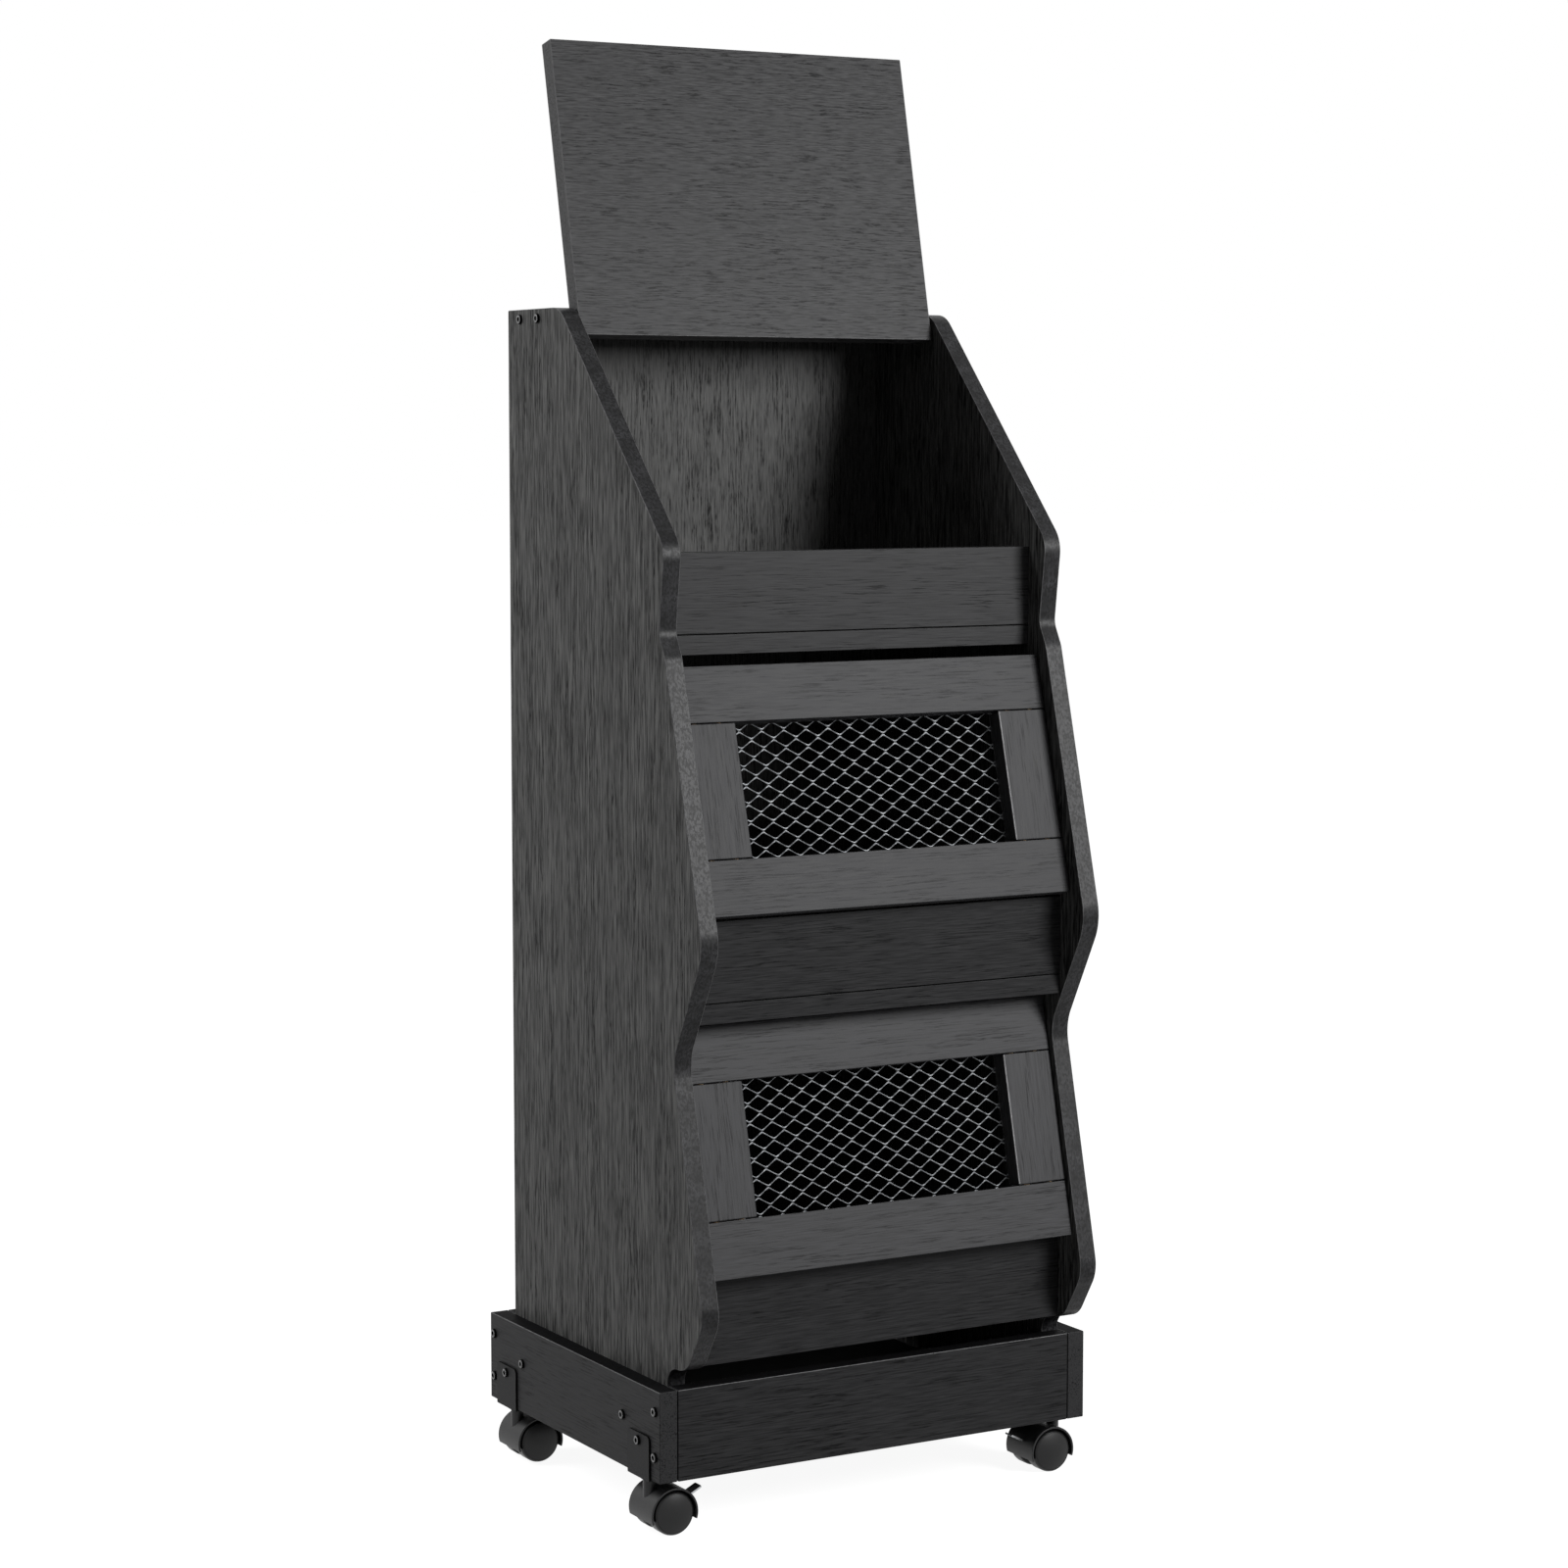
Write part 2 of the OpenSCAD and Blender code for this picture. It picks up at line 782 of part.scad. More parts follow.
// Screws and cam fittings
module base_screws() {
    color(black_metal) placed() {
        side_screws(base_w / 2, corner_screws, corner_screw_l);
        side_screws(base_w / 2, foot_screws, foot_screw_l);
    }
}

module case_screws() {
    color(black_metal) placed() side_screws(panel_x + board_t, case_screws_at, case_screw_l);
}

module back_screws() {
    color(black_metal) placed() back_screw_spots()
        rotate([-90, 0, 0]) screw(small_screw_r, back_head_r, back_screw_l);
}

module cam_locks() {
    color(zinc) placed() both_sides() difference() {
        union() {
            for (spot = shelf_cams) shelf_cam(spot, cam_r);
            for (spot = front_cams) front_cam(spot, cam_r);
        }
        for (spot = concat(shelf_cams, front_cams)) cam_bolt_bore(spot);
    }
}

module cam_bolts() {
    color(steel) placed() both_sides()
        for (spot = concat(shelf_cams, front_cams))
            along_x(panel_x - cam_in, spot, bolt_r, cam_in + bolt_in_panel);
}

// Caster brackets: a plate on the side of the base and a flange under it
module at_brackets() {
    placed() both_sides() for (y = [caster_in, base_d - caster_in]) translate([0, y, 0]) children();
}

module caster_brackets() {
    plate = [
        [-bracket_w / 2, -bracket_t, 0], [bracket_w / 2, -bracket_t, 0],
        [bracket_w / 2, bracket_up, bracket_corner_r], [-bracket_w / 2, bracket_up, bracket_corner_r],
    ];
    color(black_metal) at_brackets() difference() {
        union() {
            translate([base_w / 2, 0, 0])
                rotate([90, 0, 90])
                    linear_extrude(bracket_t) polygon(outline(plate));
            board([base_w / 2 - bracket_flange, -bracket_w / 2, -bracket_t],
                [base_w / 2 + bracket_t / 2, bracket_w / 2, 0]);
        }
        translate([stem_x, 0, -bracket_t - cut]) cylinder(r = stem_r + still_gap, h = bracket_t + 2 * cut);
        along_x(base_w / 2 - cut, [0, bracket_screw_z], screw_r + still_gap, bracket_t + 2 * cut);
    }
}

module bracket_screws() {
    color(black_metal) at_brackets()
        translate([base_w / 2 + bracket_t, 0, bracket_screw_z])
            rotate([0, 90, 0]) screw(screw_r, head_r, bracket_screw_l);
}

module caster_stems() {
    color(steel) at_brackets() translate([stem_x, 0, 0]) {
        translate([0, 0, stem_low]) cylinder(r = stem_r, h = stem_in - stem_low);
        translate([0, 0, -bracket_t - collar_t]) cylinder(r = collar_r, h = collar_t);
    }
}

// A caster is drawn with its swivel axis at the origin and its wheels towards +X,
// and is turned so that the wheels trail inwards
module at_caster(side, y) {
    placed() translate([side * stem_x, y, 0])
        if (side > 0)
            mirror([1, 0, 0]) children();
        else
            children();
}

// Turns Z outwards from the web, along the axle
module on_axle(way) {
    translate([trail, 0, axle_z]) rotate([way * -90, 0, 0]) children();
}

module hood_cover() {
    difference() {
        on_axle(1) cylinder(r = hood_r, h = hood_w, center = true);
        translate([trail - hood_r - cut, -hood_w / 2 - cut, axle_z - hood_cut - hood_r])
            cube([2 * (hood_r + cut), hood_w + 2 * cut, hood_r]);
    }
}

// The lever swings in a slot of the web, on trunnions in its two walls
module brake_slot() {
    half_w = lever_w / 2 + slot_gap;
    reach = hood_r;
    low = -brake_down - slot_spread;
    high = brake_up + slot_spread;
    translate([trail + brake_pivot.x, 0, axle_z + brake_pivot.y]) {
        rotate([90, 0, 0]) {
            cylinder(r = lever_hub_r + slot_gap, h = 2 * half_w, center = true);
            cylinder(r = trunnion_r + turn_gap, h = web_t + 2 * cut, center = true);
            linear_extrude(2 * half_w, center = true)
                polygon([[0, 0], for (a = [low:(high - low) / 6:high]) reach * [cos(a), sin(a)]]);
        }
    }
}

module hood(braked) {
    color(black_plastic) difference() {
        union() {
            hood_cover();
            on_axle(1) cylinder(r = web_hub_r, h = web_t, center = true);
            translate([0, 0, axle_z]) cylinder(r = boss_r, h = boss_top - axle_z);
        }
        for (way = [-1, 1])
            on_axle(way)
                translate([0, 0, web_t / 2]) cylinder(r = hood_r - hood_t, h = hood_w / 2);
        on_axle(1) cylinder(r = axle_r + still_gap, h = hood_w, center = true);
        translate([0, 0, stem_low - run_gap]) cylinder(r = stem_r + turn_gap, h = caster_h);
        if (braked) brake_slot();
    }
}

module axle() {
    color(steel) on_axle(1) cylinder(r = axle_r, h = 2 * axle_half, center = true);
}

// Half section of a wheel as [radius, distance from the web's middle]
module wheel(way) {
    cap_low = wheel_out - cap_rise;
    dome_r = (pow(cap_r, 2) + pow(cap_rise, 2)) / (2 * cap_rise);
    dome = [
        for (i = [0:8])
            let (x = cap_r * (1 - i / 8))
                [x, wheel_out - dome_r + sqrt(pow(dome_r, 2) - pow(x, 2))]
    ];
    bore_end = axle_half + run_gap;
    color(black_plastic) on_axle(way) rotate_extrude()
        polygon(concat(
            [
                [axle_r + turn_gap, wheel_in], [wheel_r - tread_edge, wheel_in],
                [wheel_r, wheel_in + tread_edge], [wheel_r, cap_low - tread_edge],
                [wheel_r - tread_edge, cap_low],
            ],
            dome,
            [[0, bore_end], [axle_r + turn_gap, bore_end]]
        ));
}

module brake_lever() {
    color(steel)
        translate([trail + brake_pivot.x, 0, axle_z + brake_pivot.y])
            rotate([0, -brake_up, 0]) {
                rotate([90, 0, 0]) cylinder(r = trunnion_r, h = 2 * trunnion_half, center = true);
                rotate([90, 0, 0]) cylinder(r = lever_hub_r, h = lever_w, center = true);
                board([0, -lever_w / 2, -lever_t / 2], [pedal_from + lever_lap, lever_w / 2, lever_t / 2]);
                board([pedal_from, -pedal_w / 2, -pedal_t / 2], [pedal_to, pedal_w / 2, pedal_t / 2]);
            }
}

front_y = caster_in;
aft_y = base_d - caster_in;

side_panel_left();
side_panel_right();
back_panel();
top_board();
shelf_upper();
shelf_middle();
shelf_bottom();
front_board_upper();
front_board_middle();
front_board_lower();
lid();
lid_pins();
at_upper_door() door_top_rail();  // door_upper_top_rail
at_upper_door() door_bottom_rail();  // door_upper_bottom_rail
at_upper_door() door_stiles();  // door_upper_stiles
at_upper_door() color(bare_wood) door_dowels(dowel_r);  // door_upper_dowels
at_upper_door() door_net();  // door_upper_net
at_upper_door() door_net_screws();  // door_upper_net_screws
at_upper_door() door_pins();  // door_upper_pins
at_upper_door() door_strikes();  // door_upper_strikes
at_lower_door() door_top_rail();  // door_lower_top_rail
at_lower_door() door_bottom_rail();  // door_lower_bottom_rail
at_lower_door() door_stiles();  // door_lower_stiles
at_lower_door() color(bare_wood) door_dowels(dowel_r);  // door_lower_dowels
at_lower_door() door_net();  // door_lower_net
at_lower_door() door_net_screws();  // door_lower_net_screws
at_lower_door() door_pins();  // door_lower_pins
at_lower_door() door_strikes();  // door_lower_strikes
catches();
base_side_left();
base_side_right();
base_front();
base_rear();
base_floor();
caster_brackets();
bracket_screws();
case_screws();
base_screws();
back_screws();
cam_locks();
cam_bolts();
caster_stems();
at_caster(-1, front_y) hood(true);  // front_left_hood
at_caster(-1, front_y) axle();  // front_left_axle
at_caster(-1, front_y) wheel(-1);  // front_left_wheel_fore
at_caster(-1, front_y) wheel(1);  // front_left_wheel_aft
at_caster(1, front_y) hood(true);  // front_right_hood
at_caster(1, front_y) axle();  // front_right_axle
at_caster(1, front_y) wheel(-1);  // front_right_wheel_fore
at_caster(1, front_y) wheel(1);  // front_right_wheel_aft
at_caster(-1, aft_y) hood(false);  // rear_left_hood
at_caster(-1, aft_y) axle();  // rear_left_axle
at_caster(-1, aft_y) wheel(-1);  // rear_left_wheel_fore
at_caster(-1, aft_y) wheel(1);  // rear_left_wheel_aft
at_caster(1, aft_y) hood(false);  // rear_right_hood
at_caster(1, aft_y) axle();  // rear_right_axle
at_caster(1, aft_y) wheel(-1);  // rear_right_wheel_fore
at_caster(1, aft_y) wheel(1);  // rear_right_wheel_aft
at_caster(-1, front_y) brake_lever();  // brake_lever_left
at_caster(1, front_y) brake_lever();  // brake_lever_right
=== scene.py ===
import json

import bmesh
import bpy
import numpy as np
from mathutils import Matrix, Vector


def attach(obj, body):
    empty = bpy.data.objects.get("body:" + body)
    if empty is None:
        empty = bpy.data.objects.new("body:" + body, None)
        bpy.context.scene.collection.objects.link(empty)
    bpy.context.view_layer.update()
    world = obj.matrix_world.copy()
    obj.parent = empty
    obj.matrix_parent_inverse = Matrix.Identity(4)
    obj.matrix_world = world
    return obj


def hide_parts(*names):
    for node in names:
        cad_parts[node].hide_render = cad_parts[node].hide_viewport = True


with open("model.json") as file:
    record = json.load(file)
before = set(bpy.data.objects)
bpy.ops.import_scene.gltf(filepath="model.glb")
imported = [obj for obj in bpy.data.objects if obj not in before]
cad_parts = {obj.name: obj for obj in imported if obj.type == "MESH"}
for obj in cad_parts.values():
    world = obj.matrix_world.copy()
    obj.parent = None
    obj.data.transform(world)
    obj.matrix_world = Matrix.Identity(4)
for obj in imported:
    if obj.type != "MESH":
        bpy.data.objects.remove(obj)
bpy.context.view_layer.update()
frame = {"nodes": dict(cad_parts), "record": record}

# Everything here is in millimetres until a mesh is made
MM = 0.001
BODY_OF = {node: body for body, nodes in frame["record"]["behaviour"]["bodies"].items() for node in nodes}

# The camera stands where the photograph was taken from
CAMERA_AT = (-1441.9, -2485.5, 827.1)
CAMERA_TURN = 29.93
CAMERA_DOWN = 5.43
CAMERA_LENS = 83.6
CAMERA_SENSOR = 36.0
CAMERA_CLIP = 200000

# Degrees that the lid and the doors lean back at rest
LID_LEAN = 12.4
UPPER_LEAN = 15.0
LOWER_LEAN = 13.5

# Radius of the eased edges of boards, and of the small corners that they are cut with
BOARD_EASE = 0.5
BOARD_CORNER = 0.8
STILE_EASE = 0.8
BACK_EASE = 0.3
# The upper door ends this much higher, and so clears the board below it by a dark gap
DOOR_FOOT = {"upper": 0.8, "lower": 0.0}
# Boards that butt together leave this much of a dark seam
SEAM = 0.8
EASE_STEPS = 3
# An outline turns this much at a corner that is left sharp in the construction
SHARP_TURN = 40.0


# Geometry
def node_points(node):
    """Vertices of a construction node as rows of x, y, z."""
    mesh = frame["nodes"][node].data
    flat = np.empty(3 * len(mesh.vertices))
    mesh.vertices.foreach_get("co", flat)
    return flat.reshape(-1, 3) / MM


def leaned(points, lean):
    """Points turned about the X axis, so that the top of an upright board goes back by lean degrees."""
    c, s = np.cos(np.radians(lean)), np.sin(np.radians(lean))
    x, y, z = np.moveaxis(np.asarray(points, float), -1, 0)
    return np.stack([x, y * c + z * s, z * c - y * s], -1)


def box_of(node, lean=0.0, side=0):
    """Lowest and highest corner of a node in its own upright frame, or of its half on one side of x = 0."""
    points = leaned(node_points(node), -lean)
    if side:
        points = points[points[:, 0] * side > 0]
    return points.min(0), points.max(0)


def miters(loop):
    """Outward shifts of a closed loop's points: (n1 + n2) / (1 + n1 . n2) for the normals of the two
    sides that meet at a point, which moves both sides out by one."""
    side = np.roll(loop, -1, 0) - loop
    out = np.stack([side[:, 1], -side[:, 0]], 1) / np.linalg.norm(side, axis=1)[:, None]
    area = np.sum(loop[:, 0] * np.roll(loop[:, 1], -1) - loop[:, 1] * np.roll(loop[:, 0], -1))
    out = out * np.sign(area)
    before = np.roll(out, 1, 0)
    return (before + out) / (1 + np.sum(before * out, 1))[:, None]


def rounded(corners, steps):
    """Closed loop through corners given as (u, v, radius): each corner is an arc that is tangent to both
    its sides, r / tan(half the corner's angle) from the corner."""
    corners = np.asarray(corners, float)
    at = corners[:, :2]
    radius = np.maximum(corners[:, 2], 1e-3)
    before = np.roll(at, 1, 0) - at
    after = np.roll(at, -1, 0) - at
    before /= np.linalg.norm(before, axis=1)[:, None]
    after /= np.linalg.norm(after, axis=1)[:, None]
    half = np.arccos(np.clip(np.sum(before * after, 1), -1, 1)) / 2
    middle = before + after
    middle /= np.linalg.norm(middle, axis=1)[:, None]
    centre = at + middle * (radius / np.sin(half))[:, None]
    start = at + before * (radius / np.tan(half))[:, None] - centre
    stop = at + after * (radius / np.tan(half))[:, None] - centre
    first = np.arctan2(start[:, 1], start[:, 0])
    turn = np.arctan2(stop[:, 1], stop[:, 0]) - first
    turn = (turn + np.pi) % (2 * np.pi) - np.pi
    share = np.linspace(0, 1, steps + 1)
    angle = first[:, None] + turn[:, None] * share
    arc = centre[:, None] + radius[:, None, None] * np.stack([np.cos(angle), np.sin(angle)], -1)
    return arc.reshape(-1, 2)


def rectangle(low, high, radius, steps=3):
    """Rounded rectangle between two corners."""
    corners = [(low[0], low[1]), (high[0], low[1]), (high[0], high[1]), (low[0], high[1])]
    return rounded([(u, v, radius) for u, v in corners], steps)


def eased(loop, radius):
    """A loop whose sharp corners are cut by small arcs, and whose other points stay."""
    side = np.roll(loop, -1, 0) - loop
    heading = np.arctan2(side[:, 1], side[:, 0])
    turn = (heading - np.roll(heading, 1) + np.pi) % (2 * np.pi) - np.pi
    corners = np.column_stack([loop, np.where(np.abs(turn) > np.radians(SHARP_TURN), radius, 0)])
    arcs = rounded(corners, EASE_STEPS).reshape(len(loop), -1, 2)
    parts = [arcs[i] if corners[i, 2] else loop[i:i + 1] for i in range(len(loop))]
    return np.concatenate(parts)


def quads(rows, columns, loop_rows=False, loop_columns=False):
    """Faces of a grid of points, which may close on itself either way."""
    i = np.arange(rows if loop_rows else rows - 1)[:, None]
    j = np.arange(columns if loop_columns else columns - 1)[None, :]
    up, right = (i + 1) % rows, (j + 1) % columns
    faces = np.stack([i * columns + j, i * columns + right, up * columns + right, up * columns + j], -1)
    return faces.reshape(-1, 4).tolist()


def carried(loop, section, caps=True, edge_slot=0):
    """A closed loop carried through a section of (distance inwards, depth) pairs, as (u, v, w): each pair
    moves the loop in along its miters and down to its depth. Caps close the first and last ring; without
    them the section closes on itself. Returns points, faces and each face's material."""
    section = np.asarray(section, float)
    rings = loop[None] - section[:, :1, None] * miters(loop)[None]
    depth = np.broadcast_to(section[:, 1, None, None], rings.shape[:2] + (1,))
    count, size = rings.shape[:2]
    points = np.concatenate([rings, depth], -1).reshape(-1, 3)
    faces = quads(count, size, not caps, True)
    slots = [edge_slot] * len(faces)
    if caps:
        faces += [list(range(size))[::-1], list(range((count - 1) * size, count * size))]
        slots += [0, 0]
    return points, faces, slots


def slab(loop, low, high, ease=BOARD_EASE, edge_slot=0, ease_slot=None):
    """Board of any outline between two depths. Quarter circles ease both faces into the edge: at angle a
    the outline is ease * (1 - sin a) further in and ease * (1 - cos a) below the face. The eased strips
    take a material of their own, or else the edge's."""
    angle = np.linspace(0, np.pi / 2, EASE_STEPS + 1)
    inwards, down = ease * (1 - np.sin(angle)), ease * (1 - np.cos(angle))
    section = np.concatenate([
        np.stack([inwards, low + down], 1),
        np.stack([inwards, high - down], 1)[::-1],
    ])
    points, faces, slots = carried(loop, section, edge_slot=edge_slot)
    if ease_slot is not None:
        strips = np.arange(len(section) - 1).repeat(len(loop))
        slots[:len(strips)] = np.where(strips == EASE_STEPS, edge_slot, ease_slot).tolist()
    return points, faces, slots


def turned(profile, steps=48):
    """Profile of (radius, height) pairs turned round the w axis, as a closed grid."""
    profile = np.asarray(profile, float)
    angle = 2 * np.pi * np.arange(steps) / steps
    u = profile[:, :1] * np.cos(angle)
    v = profile[:, :1] * np.sin(angle)
    w = np.broadcast_to(profile[:, 1:], u.shape)
    points = np.stack([u, v, w], -1).reshape(-1, 3)
    faces = quads(len(profile), steps, False, True)
    return points, faces, [0] * len(faces)


def swept(sections):
    """Tube from a grid of section rings along a path, closed by a cap at each end."""
    count, size = sections.shape[:2]
    faces = quads(count, size, False, True)
    faces += [list(range(size))[::-1], list(range((count - 1) * size, count * size))]
    return sections.reshape(-1, 3), faces, [0] * len(faces)


def laid(surface, axes, at=(0, 0, 0)):
    """A surface whose u, v and w lie along three given directions from a place."""
    points, faces, slots = surface
    return points @ np.asarray(axes, float) + np.asarray(at, float), faces, slots


def tilted(surface, lean):
    """A surface that leans back as its door does."""
    points, faces, slots = surface
    return leaned(points, lean), faces, slots


# Directions for laid(): u, v and w of a surface
FLAT_X = ((0, 1, 0), (0, 0, 1), (1, 0, 0))
FLAT_Y = ((0, 0, 1), (1, 0, 0), (0, 1, 0))
FLAT_Z = ((1, 0, 0), (0, 1, 0), (0, 0, 1))
FLAT = (FLAT_X, FLAT_Y, FLAT_Z)
# By the way that w points: right or left, and back or forwards
SIDEWAYS = {1: FLAT_X, -1: ((0, 0, 1), (0, 1, 0), (-1, 0, 0))}
ON_AXLE = {1: ((1, 0, 0), (0, 0, 1), (0, 1, 0)), -1: ((1, 0, 0), (0, 0, 1), (0, -1, 0))}


def piece(name, surfaces, nodes, materials):
    """Joins surfaces into one object that stands for construction nodes and rides on their body.
    Each closed surface is turned to face outwards: its signed volume is made positive."""
    mesh = bpy.data.meshes.new(name)
    points, faces, slots, count = [], [], [], 0
    for part_points, part_faces, part_slots in surfaces:
        part = bpy.data.meshes.new(name)
        part.from_pydata(part_points.tolist(), [], part_faces)
        shape = bmesh.new()
        shape.from_mesh(part)
        if shape.calc_volume(signed=True) < 0:
            part_faces = [face[::-1] for face in part_faces]
        shape.free()
        bpy.data.meshes.remove(part)
        points.append(part_points)
        faces += [[i + count for i in face] for face in part_faces]
        slots += part_slots
        count += len(part_points)
    mesh.from_pydata((np.concatenate(points) * MM).tolist(), [], faces)
    mesh.polygons.foreach_set("material_index", slots)
    mesh.polygons.foreach_set("use_smooth", [True] * len(faces))
    weld(mesh)
    mesh.set_sharp_from_angle(angle=np.radians(SHARP_TURN))
    obj = bpy.data.objects.new(name, mesh)
    bpy.context.scene.collection.objects.link(obj)
    for material in materials:
        mesh.materials.append(material)
    obj.modifiers.new("Weighted normals", "WEIGHTED_NORMAL").keep_sharp = True
    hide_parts(*nodes)
    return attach(obj, BODY_OF[nodes[0]])


def weld(mesh):
    """Merges doubled points, which closes seams and poles."""
    shape = bmesh.new()
    shape.from_mesh(mesh)
    bmesh.ops.remove_doubles(shape, verts=shape.verts, dist=1e-7)
    shape.to_mesh(mesh)
    shape.free()


# Materials
def linear(code):
    """Linear colour of an sRGB hex code such as 4a4a4c."""
    values = [int(code[i:i + 2], 16) / 255 for i in (0, 2, 4)]
    return tuple(c / 12.92 if c <= 0.04045 else ((c + 0.055) / 1.055) ** 2.4 for c in values) + (1.0,)


def add(tree, kind, inputs, out=0, **settings):
    """Adds a shader node with its settings, sets or links its inputs, and returns one of its outputs, if
    it has any."""
    node = tree.nodes.new("ShaderNode" + kind)
    for key, value in settings.items():
        setattr(node, key, value)
    for key, value in inputs.items():
        if isinstance(value, bpy.types.NodeSocket):
            tree.links.new(value, node.inputs[key])
        else:
            node.inputs[key].default_value = value
    return None if out is None else node.outputs[out]


def new_material(name):
    """An empty material and its node tree."""
    material = bpy.data.materials.new(name)
    material.use_nodes = True
    material.node_tree.nodes.clear()
    return material, material.node_tree


def finish(tree, shader):
    """Links a shader to the material's output."""
    add(tree, "OutputMaterial", {"Surface": shader}, out=None)


def noise(tree, place, size, detail):
    """Noise whose blotches measure size, given in millimetres along x, y and z."""
    scaled = add(tree, "VectorMath", {0: place, 1: [1 / (MM * s) for s in size]}, operation="MULTIPLY")
    return add(tree, "TexNoise", {"Vector": scaled, "Scale": 1.0, "Detail": detail, "Roughness": 0.5})


def pattern(tree, place, size, detail, low=0.3, high=0.7):
    """Noise of a size in millimetres, whose values between low and high are spread over 0 to 1."""
    cloud = noise(tree, place, size, detail)
    return add(tree, "MapRange", {"Value": cloud, "From Min": low, "From Max": high})


def along(grain, length, width):
    """Size of a pattern that is long along the grain, which is 0, 1 or 2 for X, Y or Z."""
    size = [width] * 3
    size[grain] = length
    return size


def stained_oak(name, grain, length, width, tones, depth, lean=0.0, level=0.12, shift=0.0, reach=4.0,
                line_edge=(0.52, 0.60), least=0.25):
    """Black-stained oak foil on board, printed and embossed by roller: the eye sees a satin grey-black
    with thin dark lines along the grain. A line is a row of sunk pores of length by width, and runs on for
    reach times its length; the lines gather in bands between smooth ones. Tones are the ground's two
    tones and the pores' tone. Noise within line_edge is a line's edge, and the smoothest bands keep the
    least share of their lines."""
    material, tree = new_material(name)
    place = add(tree, "TexCoord", {}, out="Object")
    own = add(tree, "Mapping", {"Vector": place, "Rotation": (np.radians(lean), 0, 0),
                                "Location": (shift, shift, shift)})
    bands = pattern(tree, own, along(grain, 2 * reach * length, 9 * width), 2, 0.36, 0.62)
    lines = pattern(tree, own, along(grain, reach * length, width), 1.5, *line_edge)
    pores = pattern(tree, own, along(grain, length, 0.8 * width), 2.0, 0.40, 0.60)
    fibres = pattern(tree, own, along(grain, 0.6 * reach * length, 0.7 * width), 2, 0.32, 0.68)
    gathered = add(tree, "MapRange", {"Value": bands, "To Min": least, "To Max": 1.0})
    row = add(tree, "MapRange", {"Value": pores, "To Min": 0.30, "To Max": 1.0})
    dark = add(tree, "Math", {0: lines, 1: row}, operation="MULTIPLY")
    share = add(tree, "Math", {0: dark, 1: gathered}, operation="MULTIPLY")
    ground = add(tree, "Mix", {0: fibres, 6: linear(tones[0]), 7: linear(tones[1])}, out=2, data_type="RGBA")
    colour = add(tree, "Mix", {0: share, 6: ground, 7: linear(tones[2])}, out=2, data_type="RGBA")
    rough = add(tree, "MapRange", {"Value": fibres, "To Min": 0.40, "To Max": 0.50})
    height = add(tree, "Math", {0: 1.0, 1: share}, operation="SUBTRACT")
    bump = add(tree, "Bump", {"Height": height, "Strength": 0.6, "Distance": depth * MM})
    finish(tree, add(tree, "BsdfPrincipled", {
        "Base Color": colour, "Roughness": rough, "Normal": bump, "Specular IOR Level": level,
    }))
    return material


def edge_foil(name):
    """The same foil ironed round the edges of the side panels: stretched over the board's core, it is
    darker and glossier, and the eye sees clouds, short flecks and fine cracks down the edge."""
    material, tree = new_material(name)
    place = add(tree, "TexCoord", {}, out="Object")
    clouds = pattern(tree, place, (17, 9, 12), 3)
    flecks = pattern(tree, place, (1.8, 1.8, 3), 1, 0.48, 0.58)
    web = noise(tree, place, (2.6, 3, 8), 2)
    off = add(tree, "Math", {0: web, 1: 0.5}, operation="SUBTRACT")
    cracks = add(tree, "MapRange", {"Value": add(tree, "Math", {0: off}, operation="ABSOLUTE"),
                                    "From Min": 0.0, "From Max": 0.05, "To Min": 0.7, "To Max": 0.0})
    veiled = add(tree, "Math", {0: flecks, 1: 0.8}, operation="MULTIPLY")
    marks = add(tree, "Math", {0: veiled, 1: cracks}, operation="MAXIMUM")
    ground = add(tree, "Mix", {0: clouds, 6: linear("151516"), 7: linear("373739")}, out=2, data_type="RGBA")
    colour = add(tree, "Mix", {0: marks, 6: ground, 7: linear("030303")}, out=2, data_type="RGBA")
    rough = add(tree, "MapRange", {"Value": marks, "To Min": 0.36, "To Max": 0.44})
    bump = add(tree, "Bump", {"Height": clouds, "Strength": 0.6, "Distance": 0.1 * MM})
    finish(tree, add(tree, "BsdfPrincipled", {
        "Base Color": colour, "Roughness": rough, "Normal": bump, "Specular IOR Level": 0.15,
    }))
    return material


def mottled(name, dark, light, size, rough, depth, metallic=0.0, level=0.5):
    """A moulded, cast or coated surface: two close tones in blotches of the given size, roughness that
    varies with them between two values, and a fine unevenness of the given depth."""
    material, tree = new_material(name)
    place = add(tree, "TexCoord", {}, out="Object")
    clouds = pattern(tree, place, (size,) * 3, 3)
    grit = pattern(tree, place, (size / 6,) * 3, 2)
    colour = add(tree, "Mix", {0: clouds, 6: linear(dark), 7: linear(light)}, out=2, data_type="RGBA")
    roughness = add(tree, "MapRange", {"Value": grit, "To Min": rough[0], "To Max": rough[1]})
    bump = add(tree, "Bump", {"Height": grit, "Strength": 0.5, "Distance": depth * MM})
    finish(tree, add(tree, "BsdfPrincipled", {
        "Base Color": colour, "Roughness": roughness, "Normal": bump,
        "Metallic": metallic, "Specular IOR Level": level,
    }))
    return material


